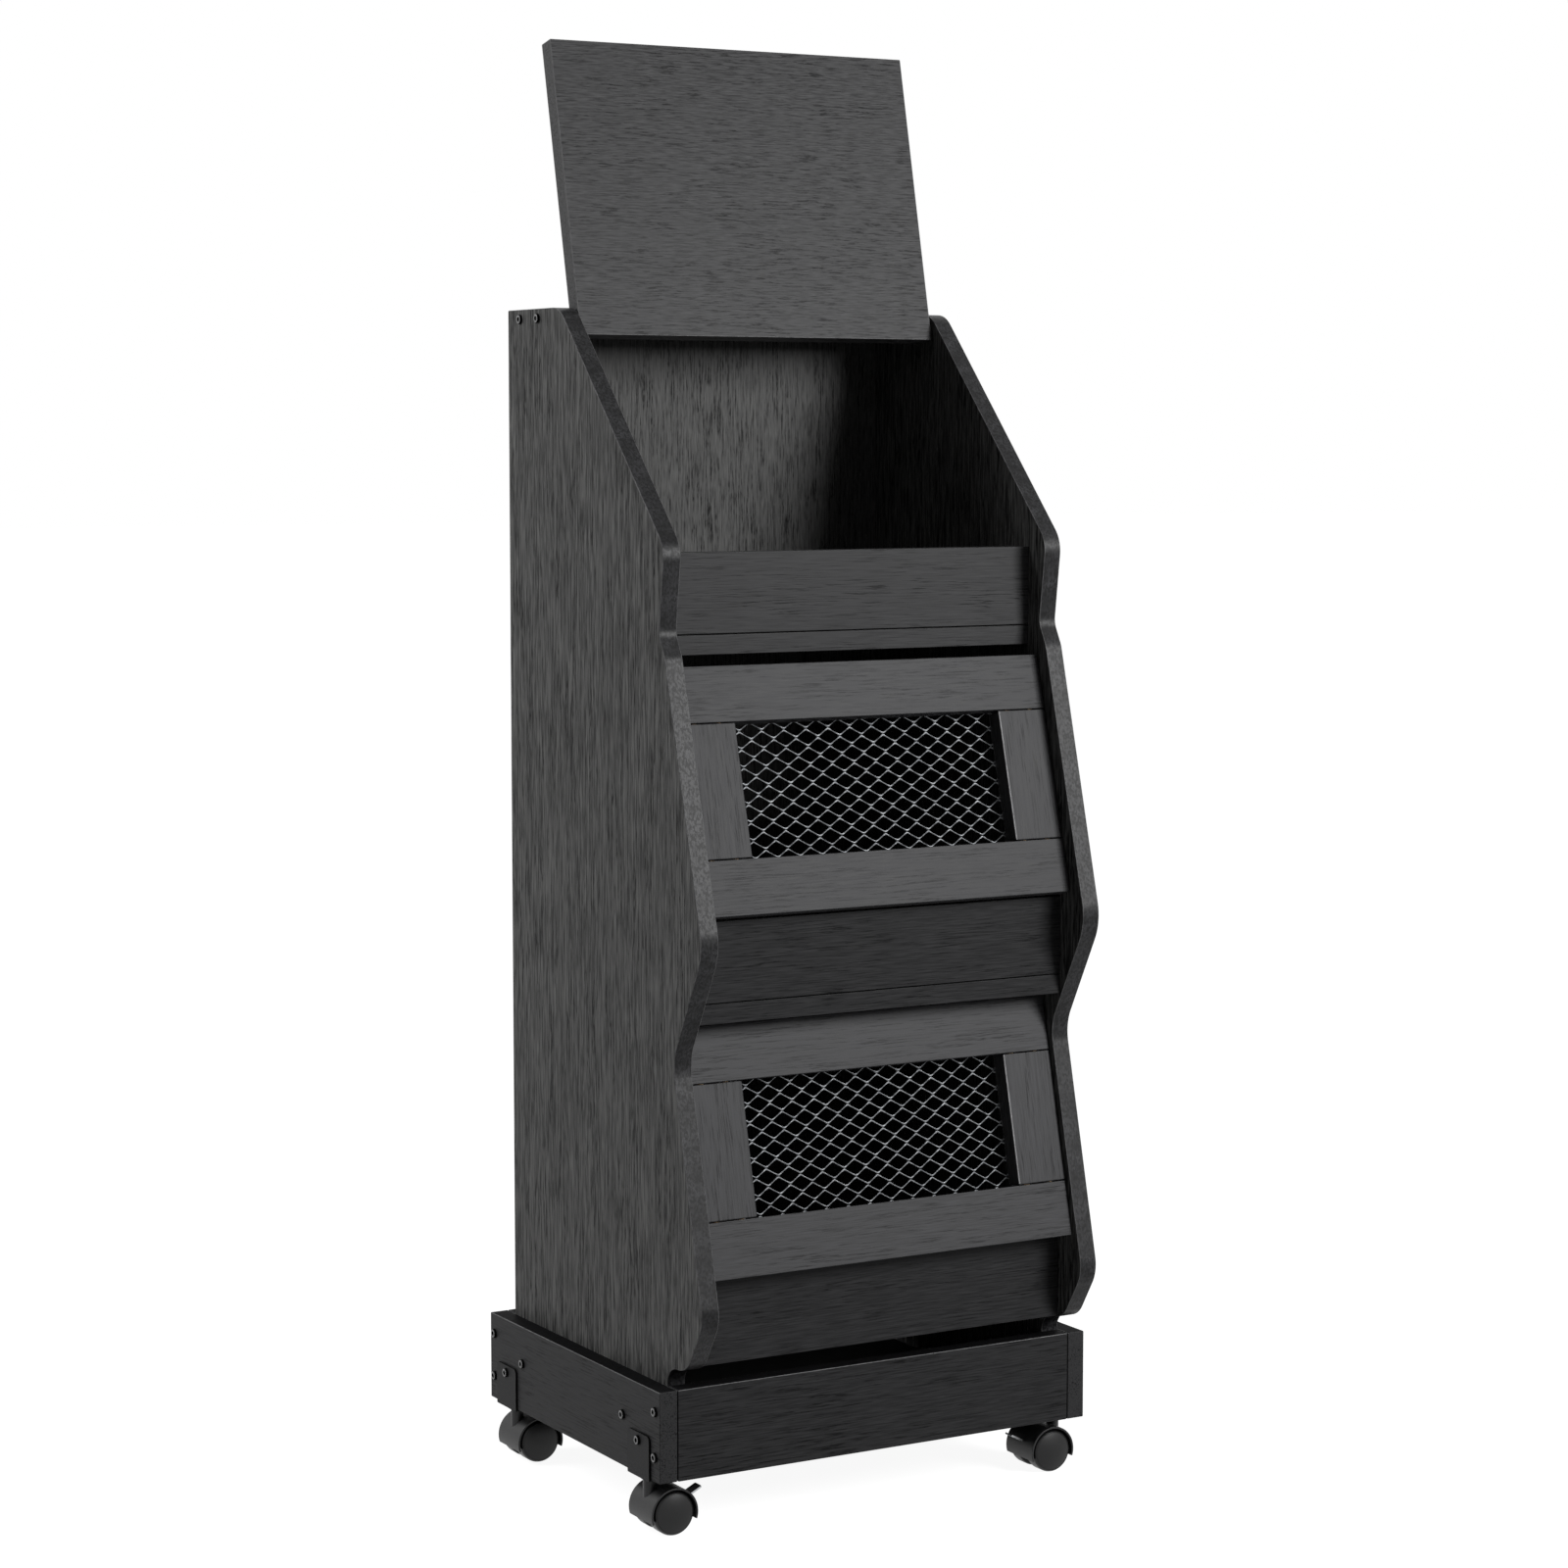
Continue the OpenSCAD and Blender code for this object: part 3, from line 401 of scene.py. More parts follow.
# The foil of the boards: the grain's axis, then the length and width of its marks in millimetres. The
# print is finest on the lying boards and the doors, and coarse and strong on the upright side panels
FINE = (9.0, 1.3)
FINE_TONES = ("303031", "3e3e3f", "101011")
# Painted shade: the lower boards and the base front and rear get a darker copy of the same foil, which
# stands for the light falling off towards the floor
PAINTED_SHADE_TONES = ("232324", "343435", "060607")
# Painted light and shade: the two doors carry the same foil in different tones, the lower door's lighter,
# set by the light that falls on each door
DOOR_TONES_BY_LIGHT = {"upper": ("333334", "424244", "1a1a1b"), "lower": ("3a3a3b", "4a4a4c", "1e1e1f")}
OAK_SIDE = stained_oak("Stained oak foil, side panels", 2, 10, 2.0, ("353535", "747473", "020202"), 0.25,
                       level=0.05, line_edge=(0.46, 0.55), least=0.5)
OAK_BACK = stained_oak("Stained oak foil, back panel", 2, 6, 1.4, ("484848", "666665", "101010"), 0.15,
                       level=0.06, line_edge=(0.48, 0.60), least=0.5)
OAK_CROSS = stained_oak("Stained oak foil, lying", 0, *FINE, FINE_TONES, 0.08)
OAK_LOW_PAINTED_SHADE = stained_oak("Stained oak foil, lower boards, darkened as painted shade", 0, *FINE, PAINTED_SHADE_TONES, 0.08, level=0.08, shift=0.53)
OAK_LID = stained_oak("Stained oak foil, lid", 0, 5.0, 1.4, ("333334", "515152", "0a0a0b"), 0.1, LID_LEAN,
                      shift=0.31, line_edge=(0.50, 0.58), least=0.4)
OAK_BASE = stained_oak("Stained oak foil, base sides", 1, *FINE, FINE_TONES, 0.08, level=0.05, shift=0.17)
OAK_RAIL = {}
OAK_STILE = {}
for level, lean, shift in (("upper", UPPER_LEAN, 0.23), ("lower", LOWER_LEAN, 0.41)):
    OAK_RAIL[level] = stained_oak("Stained oak foil, %s rails" % level, 0, *FINE, DOOR_TONES_BY_LIGHT[level], 0.08,
                                  lean, shift=shift)
    OAK_STILE[level] = stained_oak("Stained oak foil, %s stiles" % level, 2, *FINE, DOOR_TONES_BY_LIGHT[level], 0.08,
                                   lean, shift=shift + 0.1)
# Inside the base the board has only its black backing. The same near-black is painted on the top faces
# of the base boards as painted shade, for the little light that reaches them from above
BACKING_AND_PAINTED_SHADE = mottled("Black backing of board and painted shade", "0a0a0b", "121213", 5.0, (0.6, 0.7), 0.02, 0.0, 0.03)
# Painted highlights: paler colours on the eased corners of boards, round the windows and on the panel
# corners stand for the fine lines of light that catch there
PAINTED_HIGHLIGHT = mottled("Painted highlight on board corners", "545455", "767677", 5.0, (0.4, 0.5), 0.01, 0.0, 0.2)
WINDOW_HIGHLIGHT = mottled("Painted highlight round windows", "9c9c9d", "c4c4c5", 5.0, (0.4, 0.5), 0.01, 0.0, 0.2)
PANEL_EDGE_HIGHLIGHT = mottled("Painted highlight on panel corners", "3c3c3d", "6a6a6b", 5.0, (0.36, 0.46), 0.01, 0.0, 0.2)
EDGE = edge_foil("Stained oak foil, panel edges")
# Expanded steel sheet, zinc plated: a light, dull grey
ZINC_NET = mottled("Zinc plated expanded steel", "55575a", "7c7e80", 4.0, (0.42, 0.6), 0.03, 0.85)
# Drawn and turned steel, left bright
STEEL = mottled("Bright turned steel", "9b9d9f", "b9bbbd", 3.0, (0.25, 0.4), 0.01, 1.0)
# The brake levers are pressed from plated sheet: dull grey faces and bright sheared edges. The faces' grey
# is set pale partly as painted light, so that they show lit where they lie in the base's shade
LEVER_FACE_AND_PAINTED_LIGHT = mottled("Plated steel sheet with painted light", "6e6e70", "808082", 3.0, (0.36, 0.46), 0.01, 0.0, 0.3)
# Steel screws blackened in oil. The face of the head is painted paler, a painted highlight for the light it
# reflects
BLACK_SCREW = mottled("Blackened steel", "050505", "0a0a0a", 1.5, (0.5, 0.6), 0.02, 0.0, 0.03)
SCREW_FACE_HIGHLIGHT = mottled("Blackened steel, rubbed face", "6c6c6d", "8c8c8d", 1.5, (0.3, 0.4), 0.02, 0.0, 0.3)
# Pressed steel, powder coated
BRACKET = mottled("Black powder coat", "232324", "29292a", 1.2, (0.5, 0.62), 0.04, 0.0, 0.1)
# Painted shade: the plates' edges are made near-black for the shade that falls on them
PAINTED_SHADE_EDGE = mottled("Painted shade on bracket edges", "060606", "0c0c0c", 1.2, (0.5, 0.6), 0.02, 0.0, 0.05)
# Injection moulded nylon: the hood is matt, the wheels have a fine satin
HOOD = mottled("Moulded black nylon, hood", "1c1c1d", "242425", 6.0, (0.34, 0.44), 0.02, 0.0, 0.3)
WHEEL = mottled("Moulded black nylon, wheel", "070707", "0b0b0c", 6.0, (0.36, 0.42), 0.01, 0.0, 0.3)
# Die cast zinc, grey and slightly grainy
CAM = mottled("Die cast zinc", "8f9190", "a9abaa", 1.5, (0.4, 0.55), 0.04, 0.9)
# Turned birch, unfinished
BIRCH = mottled("Bare birch", "c6a477", "d6b88e", 2.0, (0.6, 0.7), 0.04, 0.0, 0.3)


# Boards
# Slots of a board: the foil, the painted highlight on eased strips, and the painted shade on dark sides
FOIL, HIGHLIGHT_STRIP, PAINTED_SHADE_TOP = 0, 1, 2
# Where the sides of a board face: the axis, and the way along it
LEFT, RIGHT, BOTTOM, TOP = (0, -1), (0, 1), (2, -1), (2, 1)


def on_sides(points, faces, low, high, sides, within):
    """For each face, whether its middle lies within a distance of one of the given sides of a box."""
    centre = np.array([points[face].mean(0) for face in faces])
    ends = {-1: low, 1: high}
    near = [np.abs(centre[:, axis] - ends[way][axis]) < within for axis, way in sides]
    return np.any(near, 0) if near else np.zeros(len(faces), bool)


def board_surface(node, lean=0.0, side=0, ease=BOARD_EASE, trim=(0, 0, 0, 0), rub=(), dark=()):
    """A board as its node's box with eased edges and corners, lying across its thinnest direction. Trim
    takes millimetres off its low and high x and its low and high z, which leaves a dark seam there. On
    the sides in rub, the eased strips get a painted highlight, and on the sides in dark the
    faces get painted shade in the backing's near-black."""
    low, high = box_of(node, lean, side)
    low = low + np.array([trim[0], 0, trim[2]])
    high = high - np.array([trim[1], 0, trim[3]])
    thin = int(np.argmin(high - low))
    u, v = (thin + 1) % 3, (thin + 2) % 3
    loop = rectangle((low[u], low[v]), (high[u], high[v]), ease * BOARD_CORNER / BOARD_EASE)
    surface = slab(loop, low[thin], high[thin], ease, ease_slot=HIGHLIGHT_STRIP)
    points, faces, slots = laid(surface, FLAT[thin])
    slots = np.array(slots)
    rubbed_side = on_sides(points, faces, low, high, rub, 1.1 * ease)
    painted_shade_side = on_sides(points, faces, low, high, dark, 0.1 * ease)
    slots[(slots == HIGHLIGHT_STRIP) & ~rubbed_side] = FOIL
    slots[(slots == FOIL) & painted_shade_side] = PAINTED_SHADE_TOP
    return leaned(points, lean), faces, slots.tolist()


def board(node, material, lean=0.0, **shape):
    """A board that stands for a node."""
    return piece("oak_" + node, [board_surface(node, lean, **shape)], [node], [material, PAINTED_HIGHLIGHT, BACKING_AND_PAINTED_SHADE])


def stiles(node, material, lean):
    """The two stiles of a door, with wider eased edges. The right one has a painted highlight on its eased
    strip beside the window.
    """
    surfaces = [
        board_surface(node, lean, side, STILE_EASE, (0, 0, SEAM, SEAM), (LEFT,) if side > 0 else ())
        for side in (-1, 1)
    ]
    return piece("oak_" + node, surfaces, [node], [material, WINDOW_HIGHLIGHT])


def outer_loop(node, x):
    """Outline of the face of a node that lies at x: the longest chain of the edges with one face. The
    edges stay in the mesh's order, so that the outline starts at the same point in every run."""
    shape = bmesh.new()
    shape.from_mesh(frame["nodes"][node].data)
    bmesh.ops.remove_doubles(shape, verts=shape.verts, dist=1e-6)
    off = [f for f in shape.faces if any(abs(v.co.x / MM - x) > 0.01 for v in f.verts)]
    bmesh.ops.delete(shape, geom=off, context="FACES")
    rim = [e for e in shape.edges if len(e.link_faces) == 1]
    loops = []
    while rim:
        edge = rim.pop(0)
        chain = [edge.verts[0], edge.verts[1]]
        while chain[-1] != chain[0]:
            edge = next(e for e in chain[-1].link_edges if e in rim)
            rim.remove(edge)
            chain.append(edge.other_vert(chain[-1]))
        loops.append(np.array([(v.co.y, v.co.z) for v in chain[:-1]]) / MM)
    shape.free()
    return max(loops, key=lambda loop: np.ptp(loop[:, 1]))


def side_panel(node, side):
    """A side panel: its outline carried through its thickness, with the ironed edge round it."""
    low, high = box_of(node)
    outer = high[0] if side > 0 else low[0]
    loop = eased(outer_loop(node, outer), BOARD_CORNER)
    # The eased strips between the faces and the edge take a painted highlight
    surface = slab(loop, low[0], high[0], edge_slot=1, ease_slot=2)
    return piece("oak_" + node, [laid(surface, FLAT_X)], [node], [OAK_SIDE, EDGE, PANEL_EDGE_HIGHLIGHT])


# The expanded metal of the doors. A diamond is one pitch wide and two rows high, and the pattern starts
# one rise above the net's middle
NET_PITCH = 19.4
NET_ROW = 7.0
NET_RISE = 5.0
NET_RIM = 9.5
NET_CORNER = 1.0
# A strand's width and thickness, its twist on the legs in degrees and how fast that changes over at the
# tips, and how far the strand waves out of the net
STRAND_W = 0.85
STRAND_T = 0.8
STRAND_TWIST = 24.0
TWIST_SPEED = 3
STRAND_WAVE = 0.3
STRAND_STEP = NET_PITCH / 20
# Strands run this far over the rim
STRAND_END = 2.0
# Two strands join at a bond: how far each stays from its middle, what it adds to the width, and its tilt
BOND = 0.8
BOND_W = 0.7
BOND_TILT = 25.0
# How sharp the tips of the zigzag are: 1 is a point
TIP = 0.985


def strand(low, high, centre, phase, depth):
    """One slit strand of expanded metal between x = low and high. Its middle line is a zigzag with round
    tips, amplitude * asin(TIP sin p) / asin(TIP), which waves in depth as sin p. Its section, a flattened
    octagon, twists with the leg that it is on, as cos p, and is wider and tilts at the bonds, where
    |sin p| is nearly 1."""
    x = np.arange(low, high, STRAND_STEP)
    p = 2 * np.pi * (x / NET_PITCH) + phase
    height = NET_ROW / 2 - BOND
    z = centre + height * np.arcsin(TIP * np.sin(p)) / np.arcsin(TIP)
    slope = np.gradient(z, x)
    length = np.hypot(1, slope)
    across = np.stack([-slope / length, np.zeros_like(x), 1 / length], 1)
    outwards = np.array([0.0, 1.0, 0.0])
    around = np.radians(np.arange(8) * 45 + 22.5)
    bond = np.sin(p) ** 8
    width = STRAND_W + BOND_W * bond
    a = width[:, None] / 2 * np.cos(around) / np.cos(np.radians(22.5))
    b = STRAND_T / 2 * np.sin(around) / np.sin(np.radians(67.5))
    twist = np.radians(STRAND_TWIST) * np.tanh(TWIST_SPEED * np.cos(p)) - np.radians(BOND_TILT) * bond
    c, s = np.cos(twist)[:, None], np.sin(twist)[:, None]
    along_n, along_y = a * c - b * s, a * s + b * c
    line = np.stack([x, depth + STRAND_WAVE * np.sin(p), z], 1)
    ring = line[:, None] + along_n[..., None] * across[:, None] + along_y[..., None] * outwards
    return swept(ring)


def net(node, lean):
    """The net of a door: its strands, and the flattened rim that is screwed to the back of the frame."""
    low, high = box_of(node, lean)
    middle = (low + high) / 2
    depth = middle[1]
    rim = rectangle((low[2], low[0]), (high[2], high[0]), NET_CORNER)
    thick = (high[1] - low[1]) / 2
    section = [(0, depth - thick), (NET_RIM, depth - thick), (NET_RIM, depth + thick), (0, depth + thick)]
    surfaces = [laid(carried(rim, section, caps=False), FLAT_Y)]
    inside = np.array([high[0] - middle[0], high[2] - middle[2]]) - NET_RIM + STRAND_END
    lowest = int(np.floor((-inside[1] - NET_RISE) / NET_ROW))
    highest = int(np.ceil((inside[1] - NET_RISE) / NET_ROW))
    for level in range(lowest, highest):
        centre = NET_RISE + (level + 0.5) * NET_ROW
        if abs(centre) < inside[1] - NET_ROW / 2 + STRAND_END:
            phase = np.pi / 2 if level % 2 == 0 else -np.pi / 2
            surfaces.append(strand(-inside[0], inside[0], middle[2] + centre, phase, depth))
    surfaces = [tilted(surface, lean) for surface in surfaces]
    return piece("zinc_" + node, surfaces, [node], [ZINC_NET])


# Screws
SOCKET_R = 1.55
SOCKET_DEPTH = 1.3
HEAD_H = 2.3
NET_SCREW_HEAD_H = 1.2
HEAD_STEPS = 48
SHOULDER_FALL = 0.1
SHANK_THREADS = 9
# The thread's start and end as shares of the shank's length, and its root as a share of its crest
THREAD_SPAN = (0.25, 0.9)
THREAD_ROOT = 0.8
# Shares of a head's radius, and of its height for the socket's depth
SHOULDER = 0.22
SIDE_SHANK = 0.53
REAR_SHANK = 0.38
REAR_SOCKET = 0.36
REAR_SOCKET_DEPTH = 0.5


def socket_head(radius, height, socket, depth):
    """Low round head with a hex socket, as rings of points: an upright side, a round shoulder, a nearly
    flat face, and the socket, whose rings are hexagons: r cos 30 / cos(a mod 60 - 30). The count of the
    rings before the face comes last."""
    angle = 2 * np.pi * np.arange(HEAD_STEPS) / HEAD_STEPS
    hexagon = np.cos(np.pi / 6) / np.cos(angle % (np.pi / 3) - np.pi / 6)
    shoulder = SHOULDER * radius
    bend = np.linspace(0, np.pi / 2, 5)
    ring_r = radius - shoulder * (1 - np.cos(bend))
    ring_z = height - SHOULDER_FALL - shoulder * (1 - np.sin(bend))
    face_r = np.array([0.5 * (ring_r[-1] + socket), 1.2 * socket])
    face_z = np.array([height - 0.03, height])
    rings = [np.full(HEAD_STEPS, r) for r in (radius, *ring_r, *face_r)]
    heights = [0.0, *ring_z, *face_z]
    walls = ((1.06, 0.0), (1.0, 0.08), (0.97, depth), (0.5, depth + 0.15), (0.0, depth + 0.2))
    for share, down in walls:
        rings.append(socket * share * hexagon)
        heights.append(height - down)
    return angle, np.array(rings), np.array(heights), len(ring_r)


def screw(radius, height, length, shank, socket, depth):
    """A screw with its head's underside at w = 0: the head's rings, and a threaded shank of ridges
    shank * (1 or THREAD_ROOT), ending in a point. The head's face, out to its shoulder, has material 1."""
    angle, rings, heights, before = socket_head(radius, height, socket, depth)
    thread = np.linspace(-length * THREAD_SPAN[0], -length * THREAD_SPAN[1], 2 * SHANK_THREADS)
    ridge = shank * np.where(np.arange(2 * SHANK_THREADS) % 2, THREAD_ROOT, 1.0)
    down_r = np.concatenate([[0], ridge[::-1], [shank * 0.9, shank * 0.9, radius * 0.97]])
    down_z = np.concatenate([[-length], thread[::-1], [-length * 0.2, 0, 0]])
    rings = np.concatenate([down_r[:, None] * np.ones(len(angle)), rings])
    heights = np.concatenate([down_z, heights])
    u, v = rings * np.cos(angle), rings * np.sin(angle)
    w = np.broadcast_to(heights[:, None], u.shape)
    points = np.stack([u, v, w], -1).reshape(-1, 3)
    faces = quads(len(heights), len(angle), False, True)
    strip = np.arange(len(heights) - 1).repeat(len(angle)) - len(down_r)
    face = (strip >= before - 1) & (strip < before + 2)
    return points, faces, face.astype(int).tolist()


def solid_boxes(node, lean=0.0):
    """Low and high corners of each separate solid of a node, from its loose parts."""
    shape = bmesh.new()
    shape.from_mesh(frame["nodes"][node].data)
    bmesh.ops.remove_doubles(shape, verts=shape.verts, dist=1e-6)
    unseen = set(shape.verts)
    boxes = []
    while unseen:
        waiting = [unseen.pop()]
        island = []
        while waiting:
            vertex = waiting.pop()
            island.append(vertex.co[:])
            for edge in vertex.link_edges:
                other = edge.other_vert(vertex)
                if other in unseen:
                    unseen.remove(other)
                    waiting.append(other)
        points = leaned(np.array(island) / MM, -lean)
        boxes.append((points.min(0), points.max(0)))
    shape.free()
    return sorted(boxes, key=lambda corners: tuple(np.round(corners[0], 1)))


def side_screws(node):
    """Screws that go into the cabinet from both sides: each solid of the node gives one."""
    surfaces = []
    for low, high in solid_boxes(node):
        side = 1 if low[0] + high[0] > 0 else -1
        outer = high[0] if side > 0 else low[0]
        radius = (high[1] - low[1]) / 2
        length = high[0] - low[0] - HEAD_H
        at = (outer - side * HEAD_H, (low[1] + high[1]) / 2, (low[2] + high[2]) / 2)
        shape = screw(radius, HEAD_H, length, radius * SIDE_SHANK, SOCKET_R, SOCKET_DEPTH)
        surfaces.append(laid(shape, SIDEWAYS[side], at))
    return piece("black_" + node, surfaces, [node], [BLACK_SCREW, SCREW_FACE_HIGHLIGHT])


def rear_screws(node, materials, lean=0.0, head=HEAD_H):
    """Screws that go into the cabinet or a door from behind."""
    surfaces = []
    for low, high in solid_boxes(node, lean):
        radius = (high[0] - low[0]) / 2
        at = ((low[0] + high[0]) / 2, high[1] - head, (low[2] + high[2]) / 2)
        length = high[1] - low[1] - head
        shape = screw(radius, head, length, radius * REAR_SHANK, radius * REAR_SOCKET,
                      head * REAR_SOCKET_DEPTH)
        surfaces.append(tilted(laid(shape, FLAT_Y, at), lean))
    return piece("screws_" + node, surfaces, [node], materials)


# Casters
CORNERS = ("front_left", "front_right", "rear_left", "rear_right")
# The hood: a cover that ends HOOD_CUT below the axle, the web under it with its hub, and the stem's boss
HOOD_T = 1.6
HOOD_CUT = 6.0
HOOD_EASE = 0.45
ARC_STEPS = 48
WEB_T = 10.0
WEB_INSET = 0.2
WEB_EASE = 0.4
HUB_R = 6.0
BOSS_R = 5.0
BOSS_CHAMFER = 0.6
STEM_X = 184.0
# The wheel's edges, as pairs of the distance in from the tread and from the inner face or the outer rim
INNER_EDGE = ((1.5, 0.0), (0.5, 0.35), (0.0, 1.2))
OUTER_EDGE = ((0.0, 2.6), (0.3, 1.5), (0.9, 0.6), (1.5, 0.1), (1.7, 0.0))
# The groove round the cap, as pairs of the distance out from the cap and down from the rim
GROOVE = ((0.25, 0.0), (0.2, 0.8), (-0.1, 0.8))
CAP_INSET = 2.0
CAP_RISE = 2.5


def hood_cover(radius, width):
    """The cover over both wheels: a rounded strip section carried round an arc that ends HOOD_CUT below
    the axle, as (u, v, w) with w along the axle."""
    end = np.arcsin(HOOD_CUT / radius)
    angle = np.linspace(-end, np.pi + end, ARC_STEPS + 1)
    corner = rectangle((radius - HOOD_T, -width / 2), (radius, width / 2), HOOD_EASE)
    rings = np.stack([
        corner[None, :, 0] * np.cos(angle)[:, None],
        corner[None, :, 0] * np.sin(angle)[:, None],
        np.broadcast_to(corner[None, :, 1], (len(angle), len(corner))),
    ], -1)
    return swept(rings)


def hood_web(radius):
    """The web between the wheels: a disc cut off HOOD_CUT below the axle, with the hub's lower half."""
    end = np.arcsin(HOOD_CUT / radius)
    dip = np.arcsin(HOOD_CUT / HUB_R)
    arc = np.linspace(-end, np.pi + end, ARC_STEPS + 1)
    hub = np.linspace(np.pi + dip, 2 * np.pi - dip, 13)
    loop = np.concatenate([
        radius * np.stack([np.cos(arc), np.sin(arc)], 1),
        HUB_R * np.stack([np.cos(hub), np.sin(hub)], 1),
    ])
    return slab(loop, -WEB_T / 2, WEB_T / 2, WEB_EASE)


def axle_place(name):
    """Middle of a caster's axle: across and up from its fore wheel, and along from its hood."""
    wheel_low, wheel_high = box_of(name + "_wheel_fore")
    hood_low, hood_high = box_of(name + "_hood")
    return np.array([(wheel_low[0] + wheel_high[0]) / 2, (hood_low[1] + hood_high[1]) / 2,
                     (wheel_low[2] + wheel_high[2]) / 2])


def caster(name):
    """Hood and wheels of one caster, whose sizes are taken from its nodes."""
    at = axle_place(name)
    fore_low, fore_high = box_of(name + "_wheel_fore")
    aft_low, aft_high = box_of(name + "_wheel_aft")
    hood_low, hood_high = box_of(name + "_hood")
    wheel_r = (fore_high[2] - fore_low[2]) / 2
    width = hood_high[1] - hood_low[1]
    hood_r = (hood_high[0] - hood_low[0]) / 2
    inner = max(fore_low[1], aft_low[1]) - at[1]
    outer = max(fore_high[1], aft_high[1]) - at[1]
    hood(name, at, hood_r, width, hood_high[2])
    for way, end in ((-1, "_wheel_fore"), (1, "_wheel_aft")):
        wheel(name + end, at, way, wheel_r, inner, outer)


def hood(name, at, radius, width, top):
    """The hood: cover, web and the boss in which the stem turns."""
    way = 1 if at[0] > 0 else -1
    boss_height = top - at[2]
    boss = turned([(0, 0), (BOSS_R, 0), (BOSS_R, boss_height - BOSS_CHAMFER),
                   (BOSS_R - BOSS_CHAMFER, boss_height), (0, boss_height)])
    surfaces = [
        laid(hood_cover(radius, width), ON_AXLE[1], at),
        laid(hood_web(radius - WEB_INSET), ON_AXLE[1], at),
        laid(boss, FLAT_Z, (way * STEM_X, at[1], at[2])),
    ]
    return piece("nylon_" + name + "_hood", surfaces, [name + "_hood"], [HOOD])


def wheel(node, at, way, radius, inner, outer):
    """A wheel as one turned profile: hub face, tread with chamfers, a groove, and the domed cap."""
    cap_r = radius - CAP_INSET
    rim = outer - CAP_RISE
    dome_r = (cap_r ** 2 + CAP_RISE ** 2) / (2 * CAP_RISE)
    r = np.linspace(cap_r, 0, 14)
    dome = np.stack([r, outer - dome_r + np.sqrt(dome_r ** 2 - r ** 2)], 1)
    profile = np.concatenate([
        [(0, inner)],
        [(radius - down, inner + away) for down, away in INNER_EDGE],
        [(radius - down, rim - away) for down, away in OUTER_EDGE],
        [(cap_r + out, rim - down) for out, down in GROOVE],
        dome,
    ])
    surface = laid(turned(profile, 64), ON_AXLE[way], at)
    return piece("nylon_" + node, [surface], [node], [WHEEL])


for corner in CORNERS:
    caster(corner)


# Brake levers
LEVER_T = 1.5
LEVER_EASE = 0.2
BRAKE_UP = 27.0
# The pivot, out along x and up from the axle
LEVER_PIVOT = (13.2, 5.0)
# One side of the plate, as the distance from the pivot, half the width and the corner's radius
LEVER_SIDE = [(0.0, 3.0, 0.4), (6.6, 3.0, 0.8), (7.6, 5.0, 0.8), (19.4, 5.0, 1.2)]
# The eye and the trunnion, as radius, half the length and chamfer
LEVER_EYE = (3.0, 3.0, 0.4)
LEVER_TRUNNION = (1.5, 4.5, 0.2)


def rod(radius, half, chamfer, steps):
    """A short rod with chamfered ends, along w."""
    return turned([(0, -half), (radius - chamfer, -half), (radius, chamfer - half),
                   (radius, half - chamfer), (radius - chamfer, half), (0, half)], steps)


def lever(side):
    """A pressed steel lever: a plate that widens outside the hood, with a round eye at its pivot, turned
    up by BRAKE_UP degrees."""
    hand = "left" if side < 0 else "right"
    node = "brake_lever_" + hand
    corners = LEVER_SIDE + [(u, -v, r) for u, v, r in LEVER_SIDE[::-1]]
    plate = slab(rounded(corners, 5), -LEVER_T / 2, LEVER_T / 2, LEVER_EASE, edge_slot=1, ease_slot=1)
    eye = laid(rod(*LEVER_EYE, 32), ON_AXLE[1])
    pin = laid(rod(*LEVER_TRUNNION, 24), ON_AXLE[1])
    c, s = np.cos(np.radians(BRAKE_UP)), np.sin(np.radians(BRAKE_UP))
    turn = np.array([[c, 0, s], [0, 1, 0], [-s, 0, c]])
    mirror = np.diag([-side, 1, 1])
    at = axle_place("front_" + hand) + np.array([-side * LEVER_PIVOT[0], 0, LEVER_PIVOT[1]])
    surfaces = [laid(part, turn @ mirror, at) for part in (plate, eye, pin)]
    return piece("steel_" + node, surfaces, [node], [LEVER_FACE_AND_PAINTED_LIGHT, STEEL])


lever(-1)
lever(1)

# Boards of the case
side_panel("side_panel_left", -1)
side_panel("side_panel_right", 1)
board("back_panel", OAK_BACK, ease=BACK_EASE)
for name in ("top_board", "shelf_upper", "shelf_bottom"):
    board(name, OAK_CROSS)
board("base_floor", BACKING_AND_PAINTED_SHADE)
board("shelf_middle", OAK_LOW_PAINTED_SHADE)
board("front_board_upper", OAK_CROSS, trim=(0, 0, SEAM, 0))
for name in ("front_board_middle", "front_board_lower"):
    board(name, OAK_LOW_PAINTED_SHADE, trim=(0, 0, SEAM, 0))
# Base boards: a painted highlight on the eased top edges, and painted shade on the top faces
for name in ("base_front", "base_rear"):
    board(name, OAK_LOW_PAINTED_SHADE, trim=(SEAM, SEAM, 0, 0), rub=(TOP,), dark=(TOP,))
for name in ("base_side_left", "base_side_right"):
    board(name, OAK_BASE, rub=(TOP,), dark=(TOP,))
board("lid", OAK_LID, LID_LEAN, rub=(LEFT, RIGHT, BOTTOM, TOP))
for level, lean in (("upper", UPPER_LEAN), ("lower", LOWER_LEAN)):
    door = "door_" + level + "_"
    board(door + "top_rail", OAK_RAIL[level], lean)
    board(door + "bottom_rail", OAK_RAIL[level], lean, trim=(0, 0, DOOR_FOOT[level], 0))
    stiles(door + "stiles", OAK_STILE[level], lean)
    net(door + "net", lean)
    rear_screws(door + "net_screws", [STEEL, STEEL], lean,
                NET_SCREW_HEAD_H)

